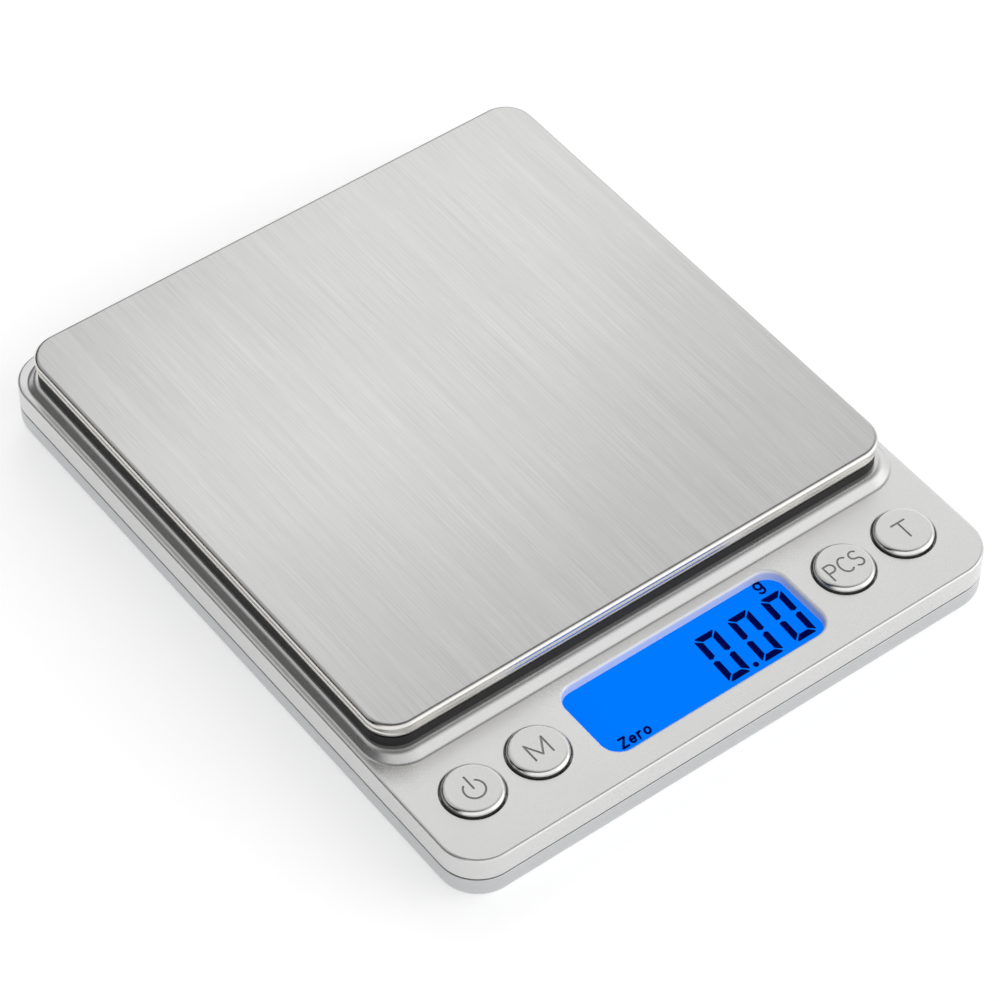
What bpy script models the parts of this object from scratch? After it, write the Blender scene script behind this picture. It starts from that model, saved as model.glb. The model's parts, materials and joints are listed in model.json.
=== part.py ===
"""Digital gram scale, as separate parts. Metres, +Z up, display towards -Y, feet on Z = 0."""

import math

import bmesh
import bpy
from mathutils import Matrix, Vector

# Clearances between pieces
GAP = 0.0003
SMALL_GAP = 0.0001

# Housing: outline, and heights above the table
HOUSING_WIDTH = 0.105
HOUSING_LENGTH = 0.1273
HOUSING_CORNER = 0.0070
SHELL_BOTTOM = 0.0011
PARTING_HEIGHT = 0.0061
DECK_HEIGHT = 0.01075
PLATEAU_HEIGHT = 0.0120
WALL = 0.0020
FLOOR = 0.0016
BOTTOM_ROUNDING = 0.0022
DECK_ROUNDING = 0.00045
TONGUE_INSET = 0.0012
TONGUE_TOP = 0.0070
CORNER_STEPS = 7

HALF_WIDTH = HOUSING_WIDTH / 2
HALF_LENGTH = HOUSING_LENGTH / 2
SHELL_FLOOR = SHELL_BOTTOM + FLOOR
DECK_CEILING = DECK_HEIGHT - WALL
PLATEAU_CEILING = PLATEAU_HEIGHT - FLOOR
OVERRUN = 0.001

# Weighing platform: a steel cap on a plastic carrier
PLATFORM_SIDE = 0.1000
PLATFORM_FRONT = 0.02425 - HALF_LENGTH
PLATFORM_Y = PLATFORM_FRONT + PLATFORM_SIDE / 2
PLATFORM_TOP = 0.0170
PLATFORM_TRAVEL = 0.0004
STEEL_CORNER = 0.0054
STEEL_SHEET = 0.0004
STEEL_BEND = 0.0008
RIM_BOTTOM = 0.01425
CARRIER_BOTTOM = 0.01255
CARRIER_TOP = PLATFORM_TOP - STEEL_SHEET - 0.0004
CARRIER_PLATE = 0.0010
CARRIER_WALL = 0.0015
RIB_SPACING = (0.0325, 0.025)
RIB_WIDTH = 0.0012
RIB_BITE = 0.0005
RIB_BOTTOM = 0.0133
ADHESIVE_SIDE = 0.094

# Plateau of the upper housing, which rises from the deck under the platform
PLATEAU_FOOT_X = 0.0516
PLATEAU_SHOULDER_X = 0.0506
PLATEAU_FOOT_FRONT = 0.0214 - HALF_LENGTH
PLATEAU_SHOULDER_FRONT = 0.0232 - HALF_LENGTH
PLATEAU_FOOT_BACK = HALF_LENGTH - 0.0016
PLATEAU_SHOULDER_BACK = HALF_LENGTH - 0.0026
PLATEAU_FOOT_CORNER = 0.0068
PLATEAU_SHOULDER_CORNER = 0.0058
PLATEAU_FILLET = 0.35

# Display, in the front of the deck
WINDOW_HALF = (0.0216, 0.00755)
WINDOW_Y = 0.01215 - HALF_LENGTH
WINDOW_CORNER = 0.0033
WINDOW_LIP = 0.00055
LIP_ANGLE = math.radians(50)
LCD_SIZE = (0.0460, 0.0174)
LCD_CORNER = 0.0006
LCD_TOP = 0.00845
LCD_THICKNESS = 0.0016
LEDGE = 0.0014
HOLDER_GAP = 0.00015
HOLDER_WALL = 0.0009
HOLDER_TOP = 0.0080

# Circuit board and what stands on it
BOARD_SIZE = (0.095, 0.0172)
BOARD_Y = -0.0472
BOARD_TOP = 0.0049
BOARD_THICKNESS = 0.0010
BOARD_POST_RADIUS = 0.0018
BOARD_POSTS = (0.0455, 0.0068)
BLOB_X = 0.0045
BLOB_RADIUS = 0.0040
BLOB_HEIGHT = 0.0008
CRYSTAL_X = -0.0090
CRYSTAL_SIZE = (0.0032, 0.0015, 0.0006)

# Buttons and their switches
BUTTONS = {"power": -0.0425, "mode": -0.0302, "pieces": 0.0302, "tare": 0.0425}
BUTTON_Y = 0.0122 - HALF_LENGTH
BUTTON_HOLE_RADIUS = 0.0052
BUTTON_RADIUS = 0.0049
BUTTON_PROUD = 0.0010
BUTTON_ROLL = 0.0007
FLANGE_RADIUS = 0.0059
FLANGE_THICKNESS = 0.0004
FLANGE_GAP = 0.00025
SWITCH_SIDE = 0.0052
SWITCH_HEIGHT = 0.00235
SWITCH_WELL = 0.0056
PLUNGER_RADIUS = 0.0015
PLUNGER_LENGTH = 0.00195
PLUNGER_GAP = 0.00005

# Load cell, between the lower housing and the platform
CELL_SIZE = (0.046, 0.011, 0.005)
CELL_BOTTOM = 0.0042
CELL_TOP = CELL_BOTTOM + CELL_SIZE[2]
CELL_END_X = 0.0185
CELL_BORE_RADIUS = 0.0019
CELL_BORE_X = 0.0045
CELL_SLOT = 0.0010
CELL_SCREW_PITCH = 0.0060
CELL_SCREW_RADIUS = 0.0013
THREAD_GAP = 0.00015
SPACER_SIZE = (0.0110, 0.0110)
SPACER_LOW = 0.0037
PAD_TOP = 0.0036
TRANSFER_SIZE = (0.0118, 0.0096)
TRANSFER_BOTTOM = CELL_TOP + PLATFORM_TRAVEL + 0.00015
TRANSFER_SCREW_LOW = 0.0050
GAUGE_SIZE = (0.012, 0.007, 0.00015)

# Battery bay, under the back half
COIN_RADIUS = 0.0100
COIN_THICKNESS = 0.0032
COIN_STEP = 0.0006
COIN_EDGE = 0.0015
COIN_X = 0.0108
COIN_Y = 0.0450
COIN_BOTTOM = 0.00265
BAY_HALF = (0.0213, 0.0105)
BAY_CEILING = 0.0066
BAY_WALL = 0.0015
CHANNEL_STEP = 0.0016
CHANNEL_CEILING = 0.0026
CHANNEL_BLOCK_TOP = 0.0040
DOOR_FRONT = 0.0326
DOOR_LENGTH = 0.0268
DOOR_HALF_WIDTH = 0.0229
DOOR_TONGUE = 0.0015
DOOR_TOP = 0.0023
GRIP_SIZE = (0.014, 0.0010, 0.0004)
GRIP_SPACING = 0.0022
GRIP_START = 0.0045
GRIP_COUNT = 3
CONTACT_LOW = 0.00605
CONTACT_SHEET = 0.0002
CONTACT_HALF = 0.0050
TAIL_HALF = 0.0018
TAIL_FRONT = 0.0322
LINK_SIZE = (0.026, 0.008, 0.00014)
LINK_LOW = 0.00238

# Screws, stops, feet and wires
FRONT_SCREW = (0.0364, -0.0587)
BACK_SCREW = (0.0465, 0.0575)
SCREW_RADIUS = 0.0010
SCREW_TOP = 0.0082
HEAD_RADIUS = 0.0022
HEAD_FLAT = 0.0018
HEAD_LOW = 0.0014
HEAD_TOP = 0.0025
BOSS_RADIUS = 0.0026
CROSS_LENGTH = 0.0024
CROSS_WIDTH = 0.0006
CROSS_DEPTH = 0.0006
FRONT_FOOT = (0.0440, -0.0545)
BACK_FOOT = (0.0390, 0.0500)
FOOT_RADIUS = 0.0045
FOOT_TOP = 0.0015
FOOT_CHAMFER = 0.0003
STOP_OFFSET = 0.040
STOP_RADIUS = 0.0015
STOP_TOP = PLATEAU_HEIGHT + 0.0006
STOP_PAD_RADIUS = 0.0030
CABLE_RADIUS = 0.0008
LEAD_RADIUS = 0.0005
WIRE_SPLITS = 2


def clear_scene():
    for item in list(bpy.data.objects):
        bpy.data.objects.remove(item)


def material(name, colour, roughness, metallic=0.0):
    made = bpy.data.materials.new(name)
    made.use_nodes = True
    shader = made.node_tree.nodes["Principled BSDF"]
    shader.inputs["Base Color"].default_value = (*colour, 1.0)
    shader.inputs["Roughness"].default_value = roughness
    shader.inputs["Metallic"].default_value = metallic
    return made


def empty(name, location=(0.0, 0.0, 0.0)):
    made = bpy.data.objects.new(name, None)
    made.location = location
    bpy.context.scene.collection.objects.link(made)
    return made


def place(data, name, finish, parent, location):
    """Links mesh or curve data as a named object, at a location given in world coordinates."""
    data.materials.append(finish)
    made = bpy.data.objects.new(name, data)
    bpy.context.scene.collection.objects.link(made)
    made.parent = parent
    made.location = Vector(location) - parent.location
    return made


def solid(mesh, name, finish, parent, location=(0.0, 0.0, 0.0)):
    """Turns a bmesh, built around location, into a named object."""
    data = closed_data(mesh, name)
    shade(data)
    return place(data, name, finish, parent, location)


def closed_data(mesh, name):
    bmesh.ops.recalc_face_normals(mesh, faces=mesh.faces)
    data = bpy.data.meshes.new(name)
    mesh.to_mesh(data)
    mesh.free()
    return data


def shade(data):
    data.shade_smooth()
    data.set_sharp_from_angle(angle=math.radians(35))


def combine(target, mesh, operation):
    """Joins a bmesh, built around the target's own origin, to target, or cuts it out."""
    tool = bpy.data.objects.new("tool", closed_data(mesh, "tool"))
    tool.display_type = "WIRE"
    tool.hide_render = True
    bpy.context.scene.collection.objects.link(tool)
    bpy.context.view_layer.update()
    tool.matrix_world = target.matrix_world
    step = target.modifiers.new("combine", "BOOLEAN")
    step.operation = operation
    step.object = tool
    graph = bpy.context.evaluated_depsgraph_get()
    result = bpy.data.meshes.new_from_object(target.evaluated_get(graph))
    target.modifiers.clear()
    target.data = result
    shade(result)
    bpy.data.objects.remove(tool)


def loft(mesh, rings):
    """Skins rings of equal point count in order and closes both ends."""
    loops = [[mesh.verts.new(point) for point in ring] for ring in rings]
    for lower, upper in zip(loops, loops[1:]):
        for i, vert in enumerate(lower):
            j = (i + 1) % len(lower)
            mesh.faces.new((vert, lower[j], upper[j], upper[i]))
    mesh.faces.new(loops[0])
    mesh.faces.new(loops[-1])


def outline(half_x, front, back, radius, height, centre_x=0.0):
    """Points of a rounded rectangle, with CORNER_STEPS steps around each corner."""
    corners = (
        (half_x - radius, back - radius),
        (radius - half_x, back - radius),
        (radius - half_x, front + radius),
        (half_x - radius, front + radius),
    )
    points = []
    for quarter, (x, y) in enumerate(corners):
        for step in range(CORNER_STEPS + 1):
            angle = (quarter + step / CORNER_STEPS) * math.pi / 2
            across = centre_x + x + radius * math.cos(angle)
            points.append((across, y + radius * math.sin(angle), height))
    return points


def add_plate(mesh, size, centre, radius, low, high):
    """A flat plate with rounded corners: size and centre in X and Y, low to high in Z."""
    front = centre[1] - size[1] / 2
    back = centre[1] + size[1] / 2
    loft(mesh, [outline(size[0] / 2, front, back, radius, z, centre[0]) for z in (low, high)])


def add_box(mesh, size, centre, low, high, bevel=0.0):
    middle = Vector((*centre, (low + high) / 2))
    scale = Matrix.Diagonal((*size, high - low, 1.0))
    made = bmesh.ops.create_cube(mesh, size=1.0, matrix=Matrix.Translation(middle) @ scale)
    if bevel:
        edges = list({edge for vert in made["verts"] for edge in vert.link_edges})
        bmesh.ops.bevel(mesh, geom=edges, offset=bevel, segments=2, profile=0.5, affect="EDGES")


def add_round(mesh, spot, profile, segments=20):
    """A turned solid on a vertical axis through spot, from (radius, height) points."""
    rings = []
    for radius, height in profile:
        ring = []
        for step in range(segments):
            angle = math.tau * step / segments
            ring.append((spot[0] + radius * math.cos(angle), spot[1] + radius * math.sin(angle), height))
        rings.append(ring)
    loft(mesh, rings)


def add_cylinder(mesh, spot, radius, low, high, segments=20):
    add_round(mesh, spot, [(radius, low), (radius, high)], segments)


def add_prism(mesh, points, axis, low, high):
    """Extrudes a flat outline along Y (points are X, Z) or along Z (points are X, Y)."""
    if axis == "Y":
        loft(mesh, [[(x, level, z) for x, z in points] for level in (low, high)])
    else:
        loft(mesh, [[(x, y, level) for x, y in points] for level in (low, high)])


def arc(radius, start, end, steps):
    """Points on an arc around the origin, angles in degrees."""
    points = []
    for step in range(steps + 1):
        angle = math.radians(start + (end - start) * step / steps)
        points.append((radius * math.cos(angle), radius * math.sin(angle)))
    return points


def four_places(front, back):
    """Names and places of a piece that sits near all four corners."""
    places = {}
    for end, (x, y) in (("front", front), ("back", back)):
        places[f"{end}_left"] = (-x, y)
        places[f"{end}_right"] = (x, y)
    return places


SCREWS = four_places(FRONT_SCREW, BACK_SCREW)
FEET = four_places(FRONT_FOOT, BACK_FOOT)
STOPS = four_places((STOP_OFFSET, PLATFORM_Y - STOP_OFFSET), (STOP_OFFSET, PLATFORM_Y + STOP_OFFSET))
CELL_FIXED = {
    "inner": (CELL_END_X - CELL_SCREW_PITCH / 2, PLATFORM_Y),
    "outer": (CELL_END_X + CELL_SCREW_PITCH / 2, PLATFORM_Y),
}
CELL_FREE = {name: (-x, y) for name, (x, y) in CELL_FIXED.items()}


def shell_ring(inset, height):
    """The housing's outline, drawn in by inset."""
    radius = max(HOUSING_CORNER - inset, OVERRUN)
    return outline(HALF_WIDTH - inset, inset - HALF_LENGTH, HALF_LENGTH - inset, radius, height)


def plateau_ring(share, height, inset=0.0):
    """The plateau's outline: share 0 is its foot on the deck, share 1 its shoulder."""

    def between(foot, shoulder):
        return foot + (shoulder - foot) * share

    half_x = between(PLATEAU_FOOT_X, PLATEAU_SHOULDER_X) - inset
    front = between(PLATEAU_FOOT_FRONT, PLATEAU_SHOULDER_FRONT) + inset
    back = between(PLATEAU_FOOT_BACK, PLATEAU_SHOULDER_BACK) - inset
    corner = between(PLATEAU_FOOT_CORNER, PLATEAU_SHOULDER_CORNER) - inset
    return outline(half_x, front, back, corner, height)


def plateau_rise():
    """Rings up the plateau's side: a hollow fillet at the deck, then a round shoulder."""
    rise = PLATEAU_HEIGHT - DECK_HEIGHT
    rings = []
    for x, z in arc(PLATEAU_FILLET, -90, 0, 3):
        rings.append(plateau_ring(x, DECK_HEIGHT + (PLATEAU_FILLET + z) * rise))
    for x, z in arc(1.0 - PLATEAU_FILLET, 180, 90, 4)[1:]:
        rings.append(plateau_ring(1.0 + x, DECK_HEIGHT + (PLATEAU_FILLET + z) * rise))
    return rings


def window_ring(out, height):
    half_x, half_y = WINDOW_HALF[0] + out, WINDOW_HALF[1] + out
    return outline(half_x, WINDOW_Y - half_y, WINDOW_Y + half_y, WINDOW_CORNER + out, height)


def upper_housing(finish, parent):
    """Deck and plateau in one shell, open below, with the window and the button holes."""
    low = PARTING_HEIGHT + GAP / 2
    rings = [
        plateau_ring(1.0, PLATEAU_CEILING, WALL),
        plateau_ring(1.0, DECK_CEILING, WALL),
        shell_ring(WALL, DECK_CEILING),
        shell_ring(WALL, TONGUE_TOP + GAP),
        shell_ring(TONGUE_INSET - GAP, TONGUE_TOP + GAP),
        shell_ring(TONGUE_INSET - GAP, low),
        shell_ring(0.0, low),
    ]
    for x, z in arc(DECK_ROUNDING, 0, 90, 3):
        rings.append(shell_ring(DECK_ROUNDING - x, DECK_HEIGHT - DECK_ROUNDING + z))
    mesh = bmesh.new()
    loft(mesh, rings + plateau_rise())
    shell = solid(mesh, "upper_housing", finish, parent)

    added = bmesh.new()
    for spot in SCREWS.values():
        add_cylinder(added, spot, BOSS_RADIUS, PARTING_HEIGHT + GAP, DECK_CEILING + OVERRUN)
    combine(shell, added, "UNION")

    cut = bmesh.new()
    low, lip = DECK_HEIGHT - WINDOW_LIP, WINDOW_LIP
    levels = [(0.0, DECK_CEILING - OVERRUN), (0.0, low)]
    levels += [(lip - lip * math.cos(LIP_ANGLE), low + lip * math.sin(LIP_ANGLE))]
    levels += [(lip, DECK_HEIGHT), (lip, DECK_HEIGHT + OVERRUN)]
    loft(cut, [window_ring(out, height) for out, height in levels])
    for x in BUTTONS.values():
        hole = (x, BUTTON_Y)
        add_cylinder(cut, hole, BUTTON_HOLE_RADIUS, DECK_CEILING - OVERRUN, DECK_HEIGHT + OVERRUN, 32)
    for spot in SCREWS.values():
        add_cylinder(cut, spot, SCREW_RADIUS + GAP, PARTING_HEIGHT, DECK_CEILING)
    for spot in STOPS.values():
        low, high = PLATEAU_CEILING - OVERRUN, PLATEAU_HEIGHT + OVERRUN
        add_cylinder(cut, spot, STOP_RADIUS + SMALL_GAP, low, high)
    opening = [side + 4 * GAP for side in TRANSFER_SIZE]
    spot = (-CELL_END_X, PLATFORM_Y)
    add_plate(cut, opening, spot, OVERRUN, PLATEAU_CEILING - OVERRUN, PLATEAU_HEIGHT + OVERRUN)
    combine(shell, cut, "DIFFERENCE")


def channel_outline(half_width, tongue, low, step, high):
    """Section across the battery door, or its channel: a plate with a tongue on each side."""
    wide = half_width + tongue
    return [
        (-half_width, low),
        (half_width, low),
        (half_width, step),
        (wide, step),
        (wide, high),
        (-wide, high),
        (-wide, step),
        (-half_width, step),
    ]


def screw_hole(mesh, spot, shank, top):
    """A stepped hole from below: a pocket for the head, then the shank's hole."""
    pocket = HEAD_RADIUS + GAP
    pocket_top = HEAD_TOP + SMALL_GAP
    add_round(mesh, spot, [(pocket, 0.0), (pocket, pocket_top), (shank, pocket_top), (shank, top)])


def lower_housing(finish, parent):
    """Tray with the tongue that enters the upper shell, screw bosses and the battery bay."""
    top = PARTING_HEIGHT - GAP / 2
    rings = [
        shell_ring(WALL, SHELL_FLOOR),
        shell_ring(WALL, TONGUE_TOP),
        shell_ring(TONGUE_INSET, TONGUE_TOP),
        shell_ring(TONGUE_INSET, top),
        shell_ring(0.0, top),
    ]
    for x, z in arc(BOTTOM_ROUNDING, 0, -90, 4):
        rings.append(shell_ring(BOTTOM_ROUNDING - x, SHELL_BOTTOM + BOTTOM_ROUNDING + z))
    mesh = bmesh.new()
    loft(mesh, rings)
    shell = solid(mesh, "lower_housing", finish, parent)

    base = SHELL_FLOOR - FLOOR / 2
    block_half = DOOR_HALF_WIDTH + DOOR_TONGUE + WALL
    block_front = DOOR_FRONT - WALL
    block_back = HALF_LENGTH - WALL / 2
    added = bmesh.new()
    size = (2 * block_half, block_back - block_front)
    add_box(added, size, (0, (block_front + block_back) / 2), base, CHANNEL_BLOCK_TOP)
    for spot in SCREWS.values():
        add_cylinder(added, spot, BOSS_RADIUS, base, PARTING_HEIGHT - GAP)
    for x in (-BOARD_POSTS[0], BOARD_POSTS[0]):
        for y in (BOARD_Y - BOARD_POSTS[1], BOARD_Y + BOARD_POSTS[1]):
            add_cylinder(added, (x, y), BOARD_POST_RADIUS, base, BOARD_TOP - BOARD_THICKNESS - SMALL_GAP)
    add_box(added, SPACER_SIZE, (CELL_END_X, PLATFORM_Y), base, PAD_TOP)
    combine(shell, added, "UNION")

    bay = bmesh.new()
    bay_size = [2 * (half + BAY_WALL) for half in BAY_HALF]
    add_box(bay, bay_size, (0, COIN_Y), CHANNEL_CEILING + GAP, BAY_CEILING + BAY_WALL)
    combine(shell, bay, "UNION")

    channel = bmesh.new()
    section = channel_outline(DOOR_HALF_WIDTH + GAP, DOOR_TONGUE, 0.0, CHANNEL_STEP, CHANNEL_CEILING)
    add_prism(channel, section, "Y", DOOR_FRONT - GAP, HALF_LENGTH + OVERRUN)
    for spot in SCREWS.values():
        screw_hole(channel, spot, SCREW_RADIUS + GAP, PARTING_HEIGHT)
    for spot in CELL_FIXED.values():
        screw_hole(channel, spot, CELL_SCREW_RADIUS + GAP, PARTING_HEIGHT)
    for spot in FEET.values():
        add_cylinder(channel, spot, FOOT_RADIUS + GAP, 0.0, FOOT_TOP + SMALL_GAP, 28)
    combine(shell, channel, "DIFFERENCE")

    pocket = bmesh.new()
    pocket_size = [2 * half for half in BAY_HALF]
    add_box(pocket, pocket_size, (0, COIN_Y), CHANNEL_CEILING - OVERRUN, BAY_CEILING)
    combine(shell, pocket, "DIFFERENCE")
    slots = bmesh.new()
    for x in (-COIN_X, COIN_X):
        slot_size = (2 * (TAIL_HALF + GAP), 2 * BAY_WALL)
        wall_y = COIN_Y - BAY_HALF[1] - BAY_WALL / 2
        add_box(slots, slot_size, (x, wall_y), CONTACT_LOW - GAP / 2, CONTACT_LOW + CONTACT_SHEET + GAP / 2)
    combine(shell, slots, "DIFFERENCE")


def steel_ring(inset, height, centre_y=0.0):
    half = PLATFORM_SIDE / 2 - inset
    return outline(half, centre_y - half, centre_y + half, STEEL_CORNER - inset, height)


def steel_platform(finish, parent):
    """Folded steel cap: flat top, small bend, straight rim."""
    low = RIM_BOTTOM - PLATFORM_TOP
    inner_bend = STEEL_BEND - STEEL_SHEET
    rings = []
    for x, z in arc(inner_bend, 90, 0, 2):
        rings.append(steel_ring(STEEL_BEND - x, z - STEEL_BEND))
    rings += [steel_ring(STEEL_SHEET, low), steel_ring(0.0, low)]
    for x, z in arc(STEEL_BEND, 0, 90, 4):
        rings.append(steel_ring(STEEL_BEND - x, z - STEEL_BEND))
    mesh = bmesh.new()
    loft(mesh, rings)
    solid(mesh, "steel_platform", finish, parent, parent.location)


def platform_carrier(finish, parent):
    """Black tray under the steel: skirt, ribs, pads over the stops and the load cell's boss."""
    ledge = RIM_BOTTOM - GAP
    inside = STEEL_SHEET + GAP
    under_plate = CARRIER_TOP - CARRIER_PLATE
    rings = [
        steel_ring(CARRIER_WALL, under_plate, PLATFORM_Y),
        steel_ring(CARRIER_WALL, CARRIER_BOTTOM, PLATFORM_Y),
        steel_ring(SMALL_GAP, CARRIER_BOTTOM, PLATFORM_Y),
        steel_ring(SMALL_GAP, ledge, PLATFORM_Y),
        steel_ring(inside, ledge, PLATFORM_Y),
        steel_ring(inside, CARRIER_TOP, PLATFORM_Y),
    ]
    mesh = bmesh.new()
    loft(mesh, rings)
    tray = solid(mesh, "platform_carrier", finish, parent)

    into_plate = CARRIER_TOP - CARRIER_PLATE / 2
    rib_length = PLATFORM_SIDE - 2 * CARRIER_WALL + 2 * RIB_BITE
    across = bmesh.new()
    for y in (-RIB_SPACING[1], 0.0, RIB_SPACING[1]):
        add_box(across, (rib_length, RIB_WIDTH), (0, PLATFORM_Y + y), RIB_BOTTOM, into_plate)
    for spot in STOPS.values():
        pad_low = STOP_TOP + PLATFORM_TRAVEL + PLUNGER_GAP
        add_cylinder(across, spot, STOP_PAD_RADIUS, pad_low, into_plate)
    combine(tray, across, "UNION")
    along = bmesh.new()
    for x in (-RIB_SPACING[0], 0.0, RIB_SPACING[0]):
        add_box(along, (RIB_WIDTH, rib_length), (x, PLATFORM_Y), RIB_BOTTOM, into_plate)
    add_box(along, TRANSFER_SIZE, (-CELL_END_X, PLATFORM_Y), TRANSFER_BOTTOM, into_plate)
    combine(tray, along, "UNION")

    holes = bmesh.new()
    shank = CELL_SCREW_RADIUS + GAP
    pocket = HEAD_RADIUS + GAP
    head_seat = CARRIER_TOP - (HEAD_TOP - HEAD_LOW) - 2 * SMALL_GAP
    for spot in CELL_FREE.values():
        profile = [(shank, CELL_TOP), (shank, head_seat), (pocket, head_seat), (pocket, PLATFORM_TOP)]
        add_round(holes, spot, profile)
    combine(tray, holes, "DIFFERENCE")


def adhesive_sheet(finish, parent):
    mesh = bmesh.new()
    size = (ADHESIVE_SIDE, ADHESIVE_SIDE)
    low = CARRIER_TOP + SMALL_GAP
    high = PLATFORM_TOP - STEEL_SHEET - SMALL_GAP
    add_plate(mesh, size, (0, PLATFORM_Y), STEEL_CORNER, low, high)
    solid(mesh, "adhesive_sheet", finish, parent)


def cross_outline(spot):
    """Plus sign of a screwdriver recess."""
    long, short = CROSS_LENGTH / 2, CROSS_WIDTH / 2
    arm = [(long, -short), (long, short), (short, short)]
    points = []
    for quarter in range(4):
        turn = Matrix.Rotation(quarter * math.pi / 2, 2)
        for point in arm:
            x, y = turn @ Vector(point)
            points.append((spot[0] + x, spot[1] + y))
    return points


def screw(name, spot, shank, tip, head_outer, head_seat, finish, parent):
    """Pan head between head_outer and head_seat, with a cross recess, and a shank to tip."""
    edge = (head_outer * 3 + head_seat) / 4
    profile = [
        (HEAD_FLAT, head_outer),
        (HEAD_RADIUS, edge),
        (HEAD_RADIUS, head_seat),
        (shank, head_seat),
        (shank, tip),
    ]
    mesh = bmesh.new()
    add_round(mesh, spot, profile, 18)
    made = solid(mesh, name, finish, parent)
    recess = bmesh.new()
    inward = math.copysign(CROSS_DEPTH, head_seat - head_outer)
    ends = sorted((head_outer - inward, head_outer + inward))
    add_prism(recess, cross_outline(spot), "Z", *ends)
    combine(made, recess, "DIFFERENCE")


def load_cell(finish, parent):
    """Aluminium bar with two joined bores, which leave thin webs above and below."""
    middle = CELL_BOTTOM + CELL_SIZE[2] / 2
    mesh = bmesh.new()
    add_box(mesh, CELL_SIZE[:2], (0, PLATFORM_Y), CELL_BOTTOM, CELL_TOP, GAP)
    bar = solid(mesh, "load_cell", finish, parent)
    slot_angle = math.degrees(math.asin(CELL_SLOT / 2 / CELL_BORE_RADIUS))
    right = arc(CELL_BORE_RADIUS, slot_angle - 180, 180 - slot_angle, 12)
    left = arc(CELL_BORE_RADIUS, slot_angle, 360 - slot_angle, 12)
    section = [(CELL_BORE_X + x, middle + z) for x, z in right]
    section += [(-CELL_BORE_X + x, middle + z) for x, z in left]
    cut = bmesh.new()
    half = CELL_SIZE[1] / 2 + OVERRUN
    add_prism(cut, section, "Y", PLATFORM_Y - half, PLATFORM_Y + half)
    for spots, gap in ((CELL_FIXED, THREAD_GAP), (CELL_FREE, GAP)):
        for spot in spots.values():
            add_cylinder(cut, spot, CELL_SCREW_RADIUS + gap, CELL_BOTTOM - OVERRUN, CELL_TOP + OVERRUN)
    combine(bar, cut, "DIFFERENCE")


def strain_gauges(finish, parent):
    low = CELL_TOP + PLUNGER_GAP
    bottom = CELL_BOTTOM - PLUNGER_GAP - GAUGE_SIZE[2]
    for name, height in (("top", low), ("bottom", bottom)):
        mesh = bmesh.new()
        add_box(mesh, GAUGE_SIZE[:2], (0, PLATFORM_Y), height, height + GAUGE_SIZE[2])
        solid(mesh, f"strain_gauge_{name}", finish, parent)


def load_cell_spacer(finish, parent):
    mesh = bmesh.new()
    add_box(mesh, SPACER_SIZE, (CELL_END_X, PLATFORM_Y), SPACER_LOW, CELL_BOTTOM - SMALL_GAP)
    spacer = solid(mesh, "load_cell_spacer", finish, parent)
    cut = bmesh.new()
    for spot in CELL_FIXED.values():
        add_cylinder(cut, spot, CELL_SCREW_RADIUS + GAP, 0.0, CELL_TOP)
    combine(spacer, cut, "DIFFERENCE")


def display(finishes, parent):
    """LCD over its backlight, in a holder on the board, joined to it by a rubber contact."""
    x_side, y_side = LCD_SIZE
    centre = (0, WINDOW_Y)
    low = BOARD_TOP + SMALL_GAP
    under_lcd = LCD_TOP - LCD_THICKNESS
    mesh = bmesh.new()
    add_plate(mesh, LCD_SIZE, centre, LCD_CORNER, under_lcd, LCD_TOP)
    solid(mesh, "lcd_panel", finishes["lcd"], parent)

    mesh = bmesh.new()
    light_size = (x_side - LCD_CORNER, y_side - LEDGE)
    light_centre = (0, WINDOW_Y - LEDGE / 2 + SMALL_GAP)
    add_plate(mesh, light_size, light_centre, LCD_CORNER, low, under_lcd - SMALL_GAP)
    solid(mesh, "lcd_backlight", finishes["light_guide"], parent)

    mesh = bmesh.new()
    strip_y = WINDOW_Y + y_side / 2 - LEDGE / 2 + SMALL_GAP
    add_box(mesh, (x_side - 2 * LEDGE, LEDGE / 2), (0, strip_y), low, under_lcd - SMALL_GAP)
    solid(mesh, "zebra_strip", finishes["elastomer"], parent)

    mesh = bmesh.new()
    outer = [side + 2 * (HOLDER_GAP + HOLDER_WALL) for side in LCD_SIZE]
    add_plate(mesh, outer, centre, OVERRUN, low, HOLDER_TOP)
    holder = solid(mesh, "lcd_holder", finishes["white_plastic"], parent)
    cut = bmesh.new()
    inner = [side + 2 * HOLDER_GAP for side in LCD_SIZE]
    add_plate(cut, inner, centre, LCD_CORNER, low - OVERRUN, HOLDER_TOP + OVERRUN)
    combine(holder, cut, "DIFFERENCE")


def main_board(finishes, parent):
    """Circuit board, with its moulded chip and clock crystal underneath."""
    under = BOARD_TOP - BOARD_THICKNESS
    mesh = bmesh.new()
    add_plate(mesh, BOARD_SIZE, (0, BOARD_Y), OVERRUN, under, BOARD_TOP)
    solid(mesh, "main_board", finishes["board"], parent)

    mesh = bmesh.new()
    top = under - SMALL_GAP
    profile = [(BLOB_RADIUS, top)]
    for x, z in arc(1.0, 0, -75, 5)[1:]:
        profile.append((BLOB_RADIUS * x, top + BLOB_HEIGHT * z))
    add_round(mesh, (BLOB_X, BOARD_Y), profile)
    solid(mesh, "processor_blob", finishes["epoxy"], parent)

    mesh = bmesh.new()
    add_box(mesh, CRYSTAL_SIZE[:2], (CRYSTAL_X, BOARD_Y), top - CRYSTAL_SIZE[2], top, SMALL_GAP)
    solid(mesh, "crystal_can", finishes["screw_steel"], parent)


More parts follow.
